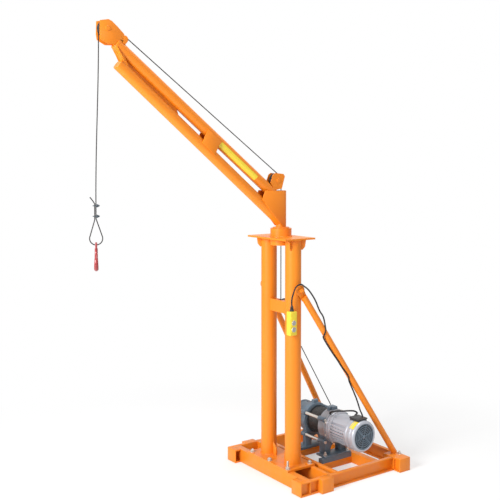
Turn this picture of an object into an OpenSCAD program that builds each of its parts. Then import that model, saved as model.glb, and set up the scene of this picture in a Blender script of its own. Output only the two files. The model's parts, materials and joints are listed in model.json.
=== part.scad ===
// Portable mini crane: a slewing twin-tube boom with an electric winch on a steel channel base.
// The origin lies on the ground under the slew axis. The boom points to -X, the winch is on
// the +X side, +Y is the left side seen from behind the winch, and +Z is up. Millimetres.

/* [Base] */
// Overall length of the base from the front stubs to the rear member
base_len = 804; // [740:1:1000]
// Distance from the slew axis forward to the front of the base
base_front = 138; // [125:1:180]
// Width of the base across the side members
base_w = 734; // [680:1:900]
// Height of the channel section
channel_h = 80; // [70:1:120]
// Flange width of the channel section
channel_b = 43; // [40:1:52]
// Web thickness of the channel section
channel_t = 5; // [4:0.5:7]
// Flange thickness of the channel section
flange_t = 7; // [5:0.5:9]
// Distance by which the second member runs out past each side member
second_over = 42; // [20:1:80]
// Distance by which the rear member runs out past each side member
rear_over = 54; // [20:1:90]
// Height and width of the two winch rails
rail_s = 40; // [30:1:50]

/* [Mast] */
// Outer diameter of the two columns
column_d = 95; // [80:1:100]
// Wall thickness of the columns
column_wall = 5; // [3:0.5:8]
// Distance between the column axes
column_gap = 236; // [236:1:300]
// Height of the top face of the top plate above the ground
mast_h = 1425; // [1300:1:1700]
// Thickness of the top plate
top_plate_t = 10; // [8:1:16]
// Thickness of the base plate under the columns
base_plate_t = 12; // [8:1:20]
// Outer diameter of the slew housing
housing_d = 126; // [110:1:130]
// Height of the slew housing above the top plate
housing_up = 50; // [40:1:90]
// Length of the slew housing below the top plate
housing_down = 50; // [40:1:90]
// Height of the brace bolts above the ground
brace_h = 1115; // [1000:1:1200]
// Outer diameter of the braces
brace_d = 38; // [30:1:42]

/* [Boom] */
// Outer diameter of the boom tubes and the slewing post
tube_d = 62; // [56:1:68]
// Wall thickness of the boom tubes
tube_wall = 4; // [3:0.5:6]
// Height of the top of the slewing post above the ground
post_top = 1698; // [1690:1:1760]
// Slope of the lower boom tube above the horizontal
lower_slope = 39.2; // [38:0.1:41]
// Slope of the upper boom tube above the horizontal
upper_slope = 38.2; // [37.6:0.1:39]
// Length of the lower boom tube from the slew axis
lower_len = 1375; // [1300:1:1400]
// Length of the upper boom tube from the slew axis
upper_len = 1365; // [1330:1:1400]
// Thickness of the boom side plates and sheave cheeks
cheek_t = 5; // [4:0.5:8]

/* [Rope and hook] */
// Diameter of the hoist rope
rope_d = 6; // [4:0.5:7]
// Pitch radius of the boom sheaves
sheave_r = 38; // [34:1:40]
// Pitch radius of the guide sheave in the mast
guide_r = 30; // [26:1:34]
// Height of the hook's lowest point above the ground
hook_z = 1307; // [900:1:1400]
// Thickness of the hook
hook_t = 18; // [14:1:22]

/* [Winch] */
// Distance of the drum axis behind the slew axis
winch_x = 360; // [350:1:375]
// Height of the drum axis above the ground
winch_z = 241; // [236:1:280]
// Radius of the rope wound on the drum
wound_r = 80; // [60:1:82]
// Radius of the motor over its fins
motor_r = 90; // [80:1:94]
// Distance of the fan end of the motor from the centre plane
fan_y = 345; // [320:1:360]

/* [Pendant] */
// Width of the pendant box
pendant_w = 53; // [45:1:60]
// Depth of the pendant box
pendant_d = 38; // [32:1:42]
// Height of the pendant box
pendant_h = 140; // [120:1:150]
// Diameter of the pendant cable
cable_d = 9; // [7:0.5:10]

/* [Clearances] */
// Running clearance of the bearings and sheave bores, on the radius
run_gap = 0.3; // [0.2:0.05:0.5]
// Clearance between the rope and what it lies in
rope_gap = 0.4; // [0.3:0.1:0.8]
// Clearance of moving parts from their neighbours
part_gap = 5; // [4:0.5:8]

/* [Hidden] */
$fn = 48;

orange = [0.93, 0.50, 0.11];
steel = [0.62, 0.64, 0.66];
dark = [0.14, 0.14, 0.15];
silver = [0.62, 0.64, 0.67];
blue_grey = [0.28, 0.36, 0.43];
yellow = [0.93, 0.82, 0.16];
red = [0.72, 0.12, 0.12];

// Base lay-out
beam_w = 2 * channel_b;
side_out = base_w / 2;
side_in = side_out - beam_w;
side_mid = side_out - channel_b;
front_x = -base_front;
rear_x = base_len - base_front;
front_web_x = front_x + channel_b;
second_x0 = -16;
second_x1 = second_x0 + beam_w;
rear_x0 = rear_x - beam_w;
support_x = rear_x0 - 121;
end_plate_t = 6;
stiffener_x = front_x + 56;
rail_near_y = -106;
rail_far_y = 154;

// Mast lay-out
plate_x = 100;
plate_y = 200;
top_x = 110;
top_y = 187;
col_y = column_gap / 2;
col_r = column_d / 2;
col_z0 = channel_h + base_plate_t;
col_z1 = mast_h - top_plate_t;
bolt_d = 16;
bolt_x = 75;
bolt_y = 175;
mid_h = 72;
mid_z1 = 1046;
mid_web_x = -24;
lug_x = 62;
lug_y = 121;
lug_r = 29;
lug_t = 8;
foot_y = 290;
foot_x = rear_x - 26;

// Boom lay-out, in the XZ plane through the slew axis
post_r = tube_d / 2;
weld_gap = 0.6;
post_z0 = mast_h - housing_down + part_gap;
housing_top = mast_h + housing_up;
collar_t = 6;
collar_r = housing_d / 2 - 14;
boom_z = housing_top + collar_t + 27;
upper_z = post_top - 66;
low_dir = [-cos(lower_slope), 0, sin(lower_slope)];
up_dir = [-cos(upper_slope), 0, sin(upper_slope)];
function low_at(t) = [0, 0, boom_z] + t * low_dir;
function up_at(t) = [0, 0, upper_z] + t * up_dir;

// Sheaves: the foot sheave drops the rope on the slew axis
sheave_w = 22;
sheave_out = sheave_r + 6;
cheek_y = sheave_w / 2 + part_gap + 4;
pin_r = 8;
foot_c = [-sheave_r, 0, post_top + 59];
head_c = up_at(upper_len + 92) + [14, 0, 16];
rope_slope = atan2(head_c.z - foot_c.z, foot_c.x - head_c.x);
guide_c = [guide_r, 0, mid_z1 - mid_h / 2 + 4];
guide_out = guide_r + 6;
rope_r = rope_d / 2;

// Winch lay-out along Y: gearbox, far frame, drum, near frame, motor, fan cover
frame_near_y0 = -88;
frame_near_y1 = -34;
frame_far_y0 = 96;
frame_far_y1 = 128;
gearbox_y1 = 232;
rod_at = [[-88, 50], [88, 50], [-88, -86], [88, -86]];
body_y0 = -262;
bar_h = 26;
foot_t = 12;
lay_r = wound_r + rope_r + rope_gap;
drum_vec = [winch_x - guide_c.x, 0, winch_z - guide_c.z];
drum_ang = atan2(drum_vec.z, drum_vec.x) - acos((lay_r + guide_r) / norm(drum_vec));
rope_off = [cos(drum_ang), 0, sin(drum_ang)];
rope_on_guide = guide_c + guide_r * rope_off;
rope_on_drum = [winch_x, 0, winch_z] - lay_r * rope_off;

// Level face on the slew axis where the boom's stretch of rope meets the mast's
rope_joint = [0, 0, foot_c.z - rope_d];

// Hanging fall, rope eye and hook
fall_x = head_c.x - sheave_r;
hook_x = fall_x - 22;
hook_yaw = -35;
hook_h = 149;
eye_r = 33;
hook_eye_r = 10;
hook_eye_z = hook_z + 131;
eye_rise = eye_r - sqrt(eye_r * eye_r - hook_t * hook_t / 4);
eye_z = hook_eye_z + hook_eye_r - rope_gap - eye_rise - rope_r + eye_r;
fork_z = eye_z + 94;
clip_z = [fork_z + 20, fork_z + 74];
strand_z = clip_z[1] + 14;

// Pendant and its cable
pendant_x = -55;
pendant_y = -(col_y + 39 + pendant_d / 2);
pendant_z = 868;
gland_h = 34;
button_r = 12;
button_at = [36, 74];
gland_top = [pendant_x, pendant_y, pendant_z + pendant_h + gland_h];
box_x0 = winch_x - 36;
box_top = winch_z + motor_r + 34;
cable_in = [winch_x + 12, body_y0 - 22, box_top];
cable_route = concat([gland_top, gland_top + [1, 0, 38]],
    [for (p = [[-42, -57, 5], [-18, -52, 31], [18, -50, 41], [50, -32, 37], [86, -24, 19],
        [122, -32, -30], [156, -40, -95], [190, -54, -159], [206, -68, -210],
        [196, -76, -255], [182, -75, -289], [214, -76, -345], [262, -80, -410],
        [302, -96, -475], [342, -106, -545], [352, -126, -605]]) p + [0, -col_y, brace_h]],
    [cable_in + [-8, 18, 87], cable_in + [0, 0, 40], cable_in]);
lead_out = [winch_x - 30, -60, winch_z + 114];
lead_in = [box_x0 + 38, body_y0 + 14, box_top - 15];
lead_route = [lead_out, lead_out + [1, -2, 11], lead_out + [10, -24, 29],
    lead_out + [18, -64, 41], lead_out + [24, -112, 43], lead_out + [30, -152, 33],
    lead_in + [0, 22, 16], lead_in + [0, 12, 2], lead_in];

// Catmull-Rom point on the stretch from p1 to p2
function spline(p0, p1, p2, p3, t) = 0.5 * ((2 * p1) + (p2 - p0) * t
    + (2 * p0 - 5 * p1 + 4 * p2 - p3) * t * t + (3 * p1 - p0 - 3 * p2 + p3) * t * t * t);
function pick(p, i) = p[max(0, min(len(p) - 1, i))];
function smooth(p, n) = concat([for (i = [0:len(p) - 2], k = [0:n - 1])
    spline(pick(p, i - 1), p[i], p[i + 1], pick(p, i + 2), k / n)], [p[len(p) - 1]]);
function unit(v) = v / norm(v);

// Tube of radius r swept along the points p, with flat ends
module swept_tube(p, r, sides = 8) {
    n = len(p);
    dirs = [for (i = [0:n - 1]) unit(pick(p, i + 1) - pick(p, i - 1))];
    side = [1, 0.35, 0];
    rings = [for (i = [0:n - 1])
        let (a = unit(cross(dirs[i], side)), b = cross(dirs[i], a))
        [for (k = [0:sides - 1])
            p[i] + r * (cos(360 * k / sides) * a + sin(360 * k / sides) * b)]];
    points = [for (ring = rings) for (q = ring) q];
    walls = [for (i = [0:n - 2], k = [0:sides - 1])
        let (a = i * sides + k, b = i * sides + (k + 1) % sides)
        each [[a, b, b + sides], [a, b + sides, a + sides]]];
    first = [for (k = [sides - 1:-1:0]) k];
    last = [for (k = [0:sides - 1]) (n - 1) * sides + k];
    polyhedron(points = points, faces = concat(walls, [first, last]), convexity = 6);
}

// Carries children from the Z axis to the line from p to q
module along(p, q) {
    v = q - p;
    translate(p) rotate([0, acos(v.z / norm(v)), atan2(v.y, v.x)]) children();
}

// Carries children from the Z axis to the Y axis, starting at p
module across(p) {
    translate(p) rotate([-90, 0, 0]) children();
}

// Plate of thickness t in the XZ plane, from y upward, cut to the children's outline
module upright(y, t) {
    translate([0, y + t, 0]) rotate([90, 0, 0]) linear_extrude(t) children();
}

module box(x0, x1, y0, y1, z0, z1) {
    translate([x0, y0, z0]) cube([x1 - x0, y1 - y0, z1 - z0]);
}

module tube(r, wall, h) {
    difference() {
        cylinder(r = r, h = h);
        translate([0, 0, -1]) cylinder(r = r - wall, h = h + 2);
    }
}

module mirrored() {
    children();
    mirror([0, 1, 0]) children();
}

// Base
module side_beam() {
    // Front stub: two channels back to back
    box(front_x + end_plate_t, second_x0, side_mid - channel_t, side_mid + channel_t, 0, channel_h);
    for (z = [0, channel_h - flange_t])
        box(front_x + end_plate_t, second_x0, side_in, side_out, z, z + flange_t);
    box(front_x, front_x + end_plate_t, side_in, side_out, 0, channel_h);
    box(stiffener_x, stiffener_x + end_plate_t, side_in, side_out, 0, channel_h);
    // Main length: two channels face to face
    difference() {
        box(second_x1, rear_x0, side_in, side_out, 0, channel_h);
        box(second_x1 - 1, rear_x0 + 1, side_in + channel_t, side_out - channel_t,
            flange_t, channel_h - flange_t);
    }
}
module side_beam_left() { color(orange) side_beam(); }
module side_beam_right() { color(orange) mirror([0, 1, 0]) side_beam(); }

// Channel across the base, web at x and flanges to the rear
module cross_channel(x) {
    box(x, x + channel_t, -side_in, side_in, 0, channel_h);
    for (z = [0, channel_h - flange_t])
        box(x, x + channel_b, -side_in, side_in, z, z + flange_t);
}
module front_cross_beam() { color(orange) cross_channel(front_web_x); }
module support_cross_beam() { color(orange) cross_channel(support_x); }

module second_cross_beam() {
    half = side_out + second_over;
    color(orange) {
        difference() {
            box(second_x0, second_x1, -half, half, 0, channel_h);
            box(second_x0 + channel_t, second_x1 - channel_t, -half + end_plate_t,
                half - end_plate_t, flange_t, channel_h - flange_t);
        }
    }
}

module rear_cross_beam() {
    color(orange) {
        box(rear_x - end_plate_t, rear_x, -side_in, side_in, 0, channel_h);
        box(rear_x - channel_b, rear_x, -side_in, side_in, 0, flange_t);
    }
}

module rear_corner_boxes() {
    out = side_out + rear_over;
    color(orange) mirrored() difference() {
        box(rear_x0, rear_x, side_in, out, 0, channel_h);
        box(rear_x0 + channel_t, rear_x - channel_t, side_in + end_plate_t,
            out - end_plate_t, flange_t, channel_h - flange_t);
    }
}

module winch_rails() {
    color(orange) for (y = [rail_near_y, rail_far_y])
        difference() {
            box(second_x1, support_x, y - rail_s / 2, y + rail_s / 2, 0, rail_s);
            box(second_x1 - 1, support_x + 1, y - rail_s / 2 + 4, y + rail_s / 2 - 4,
                4, rail_s - 4);
        }
}

// Mast
module column_base_plate() {
    color(orange) difference() {
        box(-plate_x, plate_x, -plate_y, plate_y, channel_h, col_z0);
        for (x = [-bolt_x, bolt_x - 20], y = [-bolt_y, 0, bolt_y])
            translate([x, y, channel_h - 1]) cylinder(d = bolt_d + 0.6, h = base_plate_t + 2);
    }
}

module base_bolts() {
    color(steel) for (x = [-bolt_x, bolt_x - 20], y = [-bolt_y, 0, bolt_y])
        translate([x, y, col_z0]) {
            cylinder(r = bolt_d, h = 3, $fn = 24);
            translate([0, 0, 3]) cylinder(r = bolt_d * 0.85, h = 12, $fn = 6);
            translate([0, 0, -base_plate_t]) cylinder(d = bolt_d, h = base_plate_t + 22);
        }
}

module column(y) {
    color(orange) translate([0, y, col_z0]) tube(col_r, column_wall, col_z1 - col_z0);
}
module column_left() { column(col_y); }
module column_right() { column(-col_y); }

// Triangular ribs at the feet and heads of the columns
module column_gussets() {
    rib_t = 8;
    reach = 36;
    color(orange) for (y = [-col_y, col_y], s = [-1, 1])
        translate([0, y, 0]) scale([s, 1, 1]) {
            upright(-rib_t / 2, rib_t)
                polygon([[col_r, col_z0], [col_r + 30, col_z0], [col_r + 30, col_z0 + 12],
                    [col_r, col_z0 + 84]]);
            upright(-rib_t / 2, rib_t)
                polygon([[col_r, col_z1], [col_r + reach, col_z1], [col_r + reach - 4, col_z1 - 30],
                    [col_r, col_z1 - 44]]);
        }
}

module top_plate() {
    color(orange) difference() {
        box(-top_x, top_x, -top_y, top_y, col_z1, mast_h);
        translate([0, 0, col_z1 - 1]) cylinder(d = housing_d, h = top_plate_t + 2);
    }
}

// Bearing tube through the top plate: bored for the post at both ends, relieved between
module slew_housing() {
    z0 = mast_h - housing_down;
    ring = 18;
    color(orange) difference() {
        translate([0, 0, z0]) cylinder(d = housing_d, h = housing_top - z0);
        translate([0, 0, z0 - 1]) cylinder(r = post_r + run_gap, h = housing_top - z0 + 2);
        translate([0, 0, z0 + ring])
            cylinder(r = housing_d / 2 - 8, h = housing_top - z0 - 2 * ring);
    }
}

// Channel between the columns with the cheeks and pin of the guide sheave behind its web
module mid_cross_member() {
    z0 = mid_z1 - mid_h;
    reach = col_y - 5;
    slot = sheave_w / 2 + part_gap;
    color(orange) {
        difference() {
            union() {
                box(mid_web_x, mid_web_x + channel_t, -reach, reach, z0, mid_z1);
                for (z = [z0, mid_z1 - flange_t])
                    box(mid_web_x, mid_web_x + 40, -reach, reach, z, z + flange_t);
            }
            for (y = [-col_y, col_y])
                translate([0, y, z0 - 1]) cylinder(r = col_r, h = mid_h + 2);
            box(mid_web_x + channel_t, mid_web_x + 60, -slot, slot, z0 - 1, mid_z1 + 1);
        }
        for (y = [-slot - cheek_t, slot])
            difference() {
                upright(y, cheek_t) polygon([[mid_web_x + channel_t, z0 + flange_t],
                    [guide_c.x + 20, z0 + flange_t], [guide_c.x + 34, z0 + 22],
                    [guide_c.x + 34, mid_z1 - 22], [guide_c.x + 20, mid_z1 - flange_t],
                    [mid_web_x + channel_t, mid_z1 - flange_t]]);
                across([guide_c.x, y - 1, guide_c.z]) cylinder(r = pin_r, h = cheek_t + 2);
            }
        across([guide_c.x, -slot - cheek_t - 4, guide_c.z])
            cylinder(r = pin_r, h = 2 * (slot + cheek_t + 4));
    }
}

// Sheave on the Y axis with a rope groove and a running bore
module sheave(c, pitch, out) {
    groove_r = rope_r + rope_gap;
    color(steel) across([c.x, c.y - sheave_w / 2, c.z]) difference() {
        cylinder(r = out, h = sheave_w);
        translate([0, 0, sheave_w / 2]) rotate_extrude() {
            translate([pitch, 0]) circle(r = groove_r, $fn = 32);
            polygon([[pitch, -groove_r], [out + 1, -groove_r - 4], [out + 1, groove_r + 4],
                [pitch, groove_r]]);
        }
        translate([0, 0, -1]) cylinder(r = pin_r + run_gap, h = sheave_w + 2);
    }
}
module guide_sheave() { sheave(guide_c, guide_r, guide_out); }
module head_sheave() { sheave(head_c, sheave_r, sheave_out); }
module foot_sheave() { sheave(foot_c, sheave_r, sheave_out); }

// Brace tube with flattened ends, from its bolt on the column to the rear corner
module brace(s) {
    top = [lug_x, s * lug_y, brace_h];
    foot = [foot_x, s * foot_y, channel_h];
    dir = unit(foot - top);
    flat = 46;
    color(orange) {
        difference() {
            along(top + flat * dir, foot) tube(brace_d / 2, 3, norm(foot - top) - flat);
            box(foot.x - 80, foot.x + 80, foot.y - 80, foot.y + 80, channel_h - 90, channel_h);
        }
        difference() {
            upright(top.y - lug_t / 2, lug_t) translate([top.x, top.z]) {
                circle(r = lug_r);
                rotate(atan2(dir.z, dir.x)) translate([0, -brace_d / 2])
                    square([flat + 14, brace_d]);
            }
            across([top.x, top.y - 30, top.z]) cylinder(d = bolt_d + 0.6, h = 60);
            translate([0, s * col_y, top.z - 60]) cylinder(r = col_r + 1, h = 120);
        }
    }
}
module brace_left() { brace(1); }
module brace_right() { brace(-1); }

// Lug on each column that the brace is bolted to
module brace_brackets() {
    inner = lug_y - lug_t / 2 - lug_t;
    color(orange) mirrored() difference() {
        union() {
            across([lug_x, inner, brace_h]) cylinder(r = lug_r, h = lug_t);
            box(20, lug_x, inner, inner + lug_t, brace_h - lug_r, brace_h + lug_r);
        }
        translate([0, col_y, brace_h - 60]) cylinder(r = col_r, h = 120);
        across([lug_x, 0, brace_h]) cylinder(d = bolt_d + 0.6, h = 200);
    }
    color(steel) mirrored() across([lug_x, inner - 10, brace_h]) {
        cylinder(r = 14, h = 10, $fn = 6);
        cylinder(d = bolt_d, h = 10 + 2 * lug_t + 14);
        translate([0, 0, 10 + 2 * lug_t]) cylinder(r = 14, h = 10, $fn = 6);
    }
}

// Boom
module boom_post() {
    color(orange) {
        translate([0, 0, post_z0]) tube(post_r, tube_wall, post_top - post_z0);
        difference() {
            translate([0, 0, housing_top + 0.5]) cylinder(r = collar_r, h = collar_t);
            translate([0, 0, housing_top]) cylinder(r = post_r - 1, h = collar_t + 2);
        }
    }
}

// Tube with a closed outer end, coped to fit round the post
module boom_tube(start, end) {
    len = norm(end - start);
    color(orange) difference() {
        along(start, end) cylinder(r = post_r, h = len);
        along(start, end) translate([0, 0, -post_r])
            cylinder(r = post_r - tube_wall, h = len + post_r - tube_wall);
        translate([0, 0, start.z - 200]) cylinder(r = post_r + weld_gap, h = 400);
    }
}
module boom_lower_tube() { boom_tube(low_at(0), low_at(lower_len)); }
module boom_upper_tube() {
    difference() {
        boom_tube(up_at(0), up_at(upper_len));
        for (y = [-cheek_y - cheek_t, cheek_y]) upright(y, cheek_t) cheek_outline();
    }
}

// Side plates that tie the two tubes together at the foot and near the middle
module boom_side_plates() {
    mid = [up_at(560), up_at(668), low_at(668), low_at(548)];
    color(orange) mirrored() {
        upright(post_r, cheek_t) polygon([[-140, 1703], [-162, 1650], [-20, housing_top + collar_t + 8],
            [post_r, housing_top + collar_t + 8], [post_r, post_top - 2], [-40, post_top - 2]]);
        upright(post_r, cheek_t) polygon([for (p = mid) [p.x, p.z]]);
    }
}

// Outline of the head cheek around the head sheave
module cheek_outline() {
    translate([head_c.x, head_c.z]) polygon([[-46, -34], [-46, 34], [-30, 48], [4, 48],
        [24, 36], [56, -4], [50, -66], [4, -78], [-38, -52]]);
}

module head_frame() {
    color(orange) {
        for (y = [-cheek_y - cheek_t, cheek_y])
            difference() {
                upright(y, cheek_t) cheek_outline();
                across([head_c.x, y - 1, head_c.z]) cylinder(r = pin_r, h = cheek_t + 2);
            }
    }
}

module foot_sheave_housing() {
    color(orange) for (y = [-cheek_y - cheek_t, cheek_y])
        difference() {
            upright(y, cheek_t) translate([foot_c.x, foot_c.z]) polygon([[-56, -10],
                [-38, 36], [-22, 46], [38, 40], [48, 26], [26, -46], [-28, -56]]);
            across([foot_c.x, y - 1, foot_c.z]) cylinder(r = pin_r, h = cheek_t + 2);
            along(up_at(0), up_at(upper_len)) cylinder(r = post_r, h = 300);
        }
}

module boom_sheave_pins() {
    half = cheek_y + cheek_t + 4;
    color(steel) for (c = [head_c, foot_c])
        across([c.x, -half, c.z]) {
            cylinder(r = pin_r, h = 2 * half);
            cylinder(r = pin_r + 4, h = 4 - 0.001);
            translate([0, 0, 2 * half - 4]) cylinder(r = pin_r + 4, h = 4);
        }
}

// Rope: all runs are swept tubes through points worked out from the sheaves
function arc_points(c, r, a0, a1, steps) =
    [for (i = [0:steps]) let (a = a0 + (a1 - a0) * i / steps) c + r * [cos(a), 0, sin(a)]];

module hoist_rope_boom() {
    rise = 90 - rope_slope;
    color(dark) swept_tube(concat(arc_points(head_c, sheave_r, 180, rise, 12),
        arc_points(foot_c, sheave_r, rise, 0, 6), [rope_joint]), rope_r, 10);
}

module hoist_rope_mast() {
    color(dark) swept_tube(concat([rope_joint - [0, 0, rope_gap]],
        arc_points(guide_c, guide_r, 180, 360 + drum_ang, 4), [rope_on_drum]), rope_r, 10);
}

// The fall has a slight set that shifts it forward on its way down
module rope_fall() {
    steps = 16;
    color(dark) swept_tube([for (i = [0:steps])
        let (t = i / steps)
        [fall_x + (hook_x - fall_x) * (1 - cos(180 * t)) / 2, 0,
            head_c.z + (strand_z - head_c.z) * t]], rope_r, 10);
}

// Eye spliced with two clips; the tail lies beside the standing strand
module rope_eye() {
    lean = asin(eye_r / (fork_z - eye_z));
    tail_x = -rope_d - rope_gap;
    color(dark) translate([hook_x, 0, 0]) rotate([0, 0, hook_yaw])
        swept_tube(concat([[0, 0, strand_z], [0, 0, fork_z + 8]],
            arc_points([0, 0, eye_z], eye_r, lean, -180 - lean, 18),
            [[tail_x, 0, fork_z + 2], [tail_x, 0, clip_z[1] + 10],
            [tail_x - 24, 0, clip_z[1] + 44]]), rope_r, 10);
}

module rope_clips() {
    color(dark) translate([hook_x, 0, 0]) rotate([0, 0, hook_yaw])
        for (z = clip_z)
            translate([0, 0, z - 8]) difference() {
                union() {
                    translate([-rope_d - 7, -9, 0]) cube([rope_d + 14, 18, 16]);
                    translate([7, -8, 4]) cube([14, 16, 8]);
                }
                for (x = [-rope_d - rope_gap, 0])
                    translate([x, 0, -1]) cylinder(r = rope_r + 0.1, h = 18, $fn = 24);
            }
}

// Hook in the plane across its eye
module hook() {
    bowl_z = 46;
    bowl_r = 22;
    color(red) translate([hook_x, 0, hook_z]) rotate([0, 0, hook_yaw])
        rotate([0, 0, 90]) translate([0, hook_t / 2, 0]) rotate([90, 0, 0])
        linear_extrude(hook_t) difference() {
            union() {
                translate([0, hook_h - 18]) circle(r = 20);
                polygon([[-9, bowl_z], [9, bowl_z + 30], [9, hook_h - 25], [-9, hook_h - 25]]);
                translate([0, bowl_z]) circle(r = bowl_z);
            }
            translate([0, hook_h - 18]) circle(r = hook_eye_r);
            translate([4, bowl_z + 2]) circle(r = bowl_r);
            polygon([[4, bowl_z + 2], [20, bowl_z + 60], [70, bowl_z + 60], [70, bowl_z + 8],
                [27, bowl_z + 8]]);
        }
}

// Winch
module frame_outline() {
    translate([winch_x, winch_z]) {
        circle(r = 100);
        translate([-86, -winch_z + rail_s + bar_h + foot_t]) square([172, 100]);
        translate([-19, 60]) square([38, 58]);
        for (p = rod_at) translate(p) circle(r = 15);
    }
}

module winch_frames() {
    foot_z = rail_s + bar_h;
    color(blue_grey) difference() {
        union() {
            upright(frame_near_y0, frame_near_y1 - frame_near_y0) frame_outline();
            upright(frame_far_y0, frame_far_y1 - frame_far_y0) frame_outline();
            box(winch_x - 112, winch_x + 94, rail_near_y - 18, frame_near_y1, foot_z, foot_z + foot_t);
            box(winch_x - 112, winch_x + 94, frame_far_y0, rail_far_y + 18, foot_z, foot_z + foot_t);
            translate([winch_x - 30, -60, winch_z + 80]) cylinder(r = 9, h = 34);
        }
        for (y = [frame_near_y0, frame_far_y0])
            across([winch_x, y - 1, winch_z]) cylinder(r = 24, h = 100);
    }
}

module winch_tie_rods() {
    color(steel) for (p = rod_at)
        across([winch_x + p.x, frame_near_y1, winch_z + p.y])
            cylinder(r = 7, h = frame_far_y0 - frame_near_y1);
}

module winch_drum() {
    len = frame_far_y0 - frame_near_y1;
    color(dark) across([winch_x, frame_near_y1 + part_gap, winch_z]) {
        cylinder(r = wound_r + 6, h = 6);
        translate([0, 0, len - 2 * part_gap - 6]) cylinder(r = wound_r + 6, h = 6);
        cylinder(r = 50, h = len - 2 * part_gap);
        translate([0, 0, -part_gap - 20]) cylinder(r = 24 - run_gap, h = len + 40);
    }
}

// Rope wound on the drum, one bead for each turn of the outer layer
module drum_rope() {
    y0 = frame_near_y1 + part_gap + 6.4;
    width = frame_far_y0 - frame_near_y1 - 2 * part_gap - 12.8;
    turns = floor(width / rope_d);
    color(dark) across([winch_x, y0, winch_z]) rotate_extrude() {
        translate([50.3, 0]) square([wound_r - rope_r - 50.3, width]);
        for (k = [0:turns - 1])
            translate([wound_r - rope_r, (k + 0.5) * width / turns]) circle(r = rope_r, $fn = 16);
    }
}

module motor_body() {
    fins = 40;
    color(silver) {
        upright(body_y0, frame_near_y0 - 16 - body_y0) translate([winch_x, winch_z]) {
            circle(r = motor_r - 12);
            for (k = [0:fins - 1]) rotate(360 * k / fins)
                translate([motor_r - 14, -1.5]) square([14, 3]);
        }
        across([winch_x, frame_near_y0 - 16, winch_z]) cylinder(r = 96, h = 16);
    }
}

module fan_cover() {
    len = fan_y + body_y0;
    color(silver) across([winch_x, -fan_y, winch_z]) difference() {
        rotate_extrude() polygon([[0, 4], [motor_r - 14, 4], [motor_r - 12, 0], [motor_r - 2, 4],
            [motor_r + 3, 14], [motor_r + 3, len], [0, len]]);
        for (ring = [[14, 26], [33, 45], [52, 64]])
            translate([0, 0, 3]) difference() {
                cylinder(r = ring[1], h = 5);
                translate([0, 0, -1]) cylinder(r = ring[0], h = 7);
                for (k = [0:5]) rotate(60 * k) translate([-2.5, -80, -1]) cube([5, 160, 7]);
            }
    }
}

module terminal_box() {
    color(dark) difference() {
        box(box_x0, winch_x + 40, body_y0 - 56, body_y0 + 14, winch_z + motor_r - 12, box_top);
        across([winch_x, -330, winch_z]) cylinder(r = motor_r + 3.2, h = 100);
    }
}

module gearbox() {
    color(blue_grey) {
        across([winch_x, frame_far_y1, winch_z]) {
            cylinder(r = 92, h = 40);
            translate([0, 0, 40]) cylinder(r = 84, h = gearbox_y1 - frame_far_y1 - 40);
        }
    }
}

module winch_base_bars() {
    color(blue_grey) for (y = [rail_near_y, rail_far_y])
        box(second_x1 + 154, support_x, y - 18, y + 18, rail_s, rail_s + bar_h);
    color(steel) for (x = [winch_x - 98, winch_x + 78], y = [rail_near_y, rail_far_y])
        translate([x, y, rail_s + bar_h + foot_t]) cylinder(r = 10, h = 8, $fn = 6);
}

module motor_lead() { color(dark) swept_tube(smooth(lead_route, 2), 4); }

// Pendant
module pendant_body() {
    color(yellow) difference() {
        translate([pendant_x - pendant_w / 2, pendant_y - pendant_d / 2, pendant_z])
            cube([pendant_w, pendant_d, pendant_h]);
        for (z = button_at)
            translate([pendant_x, pendant_y - pendant_d / 2 - 1, pendant_z + z])
                rotate([-90, 0, 0]) cylinder(r = button_r + 1, h = 11);
    }
}
module pendant_button(z) {
    color(steel) translate([pendant_x, pendant_y - pendant_d / 2 - 5, pendant_z + z])
        rotate([-90, 0, 0]) cylinder(r = button_r, h = 10);
}
module pendant_button_up() { pendant_button(button_at[1]); }
module pendant_button_down() { pendant_button(button_at[0]); }

module pendant_gland() {
    color(dark) translate([pendant_x, pendant_y, pendant_z + pendant_h])
        cylinder(r1 = 13, r2 = 7, h = gland_h);
}

module pendant_cable() { color(dark) swept_tube(smooth(cable_route, 3), cable_d / 2); }

side_beam_left();
side_beam_right();
front_cross_beam();
second_cross_beam();
support_cross_beam();
rear_cross_beam();
rear_corner_boxes();
winch_rails();
column_base_plate();
base_bolts();
column_left();
column_right();
column_gussets();
top_plate();
slew_housing();
mid_cross_member();
guide_sheave();
brace_left();
brace_right();
brace_brackets();
boom_post();
boom_lower_tube();
boom_upper_tube();
boom_side_plates();
head_frame();
head_sheave();
foot_sheave_housing();
foot_sheave();
boom_sheave_pins();
hoist_rope_boom();
hoist_rope_mast();
rope_fall();
rope_eye();
rope_clips();
hook();
winch_frames();
winch_tie_rods();
winch_drum();
drum_rope();
motor_body();
fan_cover();
terminal_box();
gearbox();
winch_base_bars();
motor_lead();
pendant_body();
pendant_button_up();
pendant_button_down();
pendant_gland();
pendant_cable();
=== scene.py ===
# %% [markdown]
# # A portable mini crane in orange enamel
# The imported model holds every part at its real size. This script gives the parts their finish
# and adds what a workshop adds last: wire rope with real strands, weld beads, bolts, plain
# yellow patches and cables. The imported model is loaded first, because every place below is
# read from it.

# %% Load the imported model
import json
import math

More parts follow.
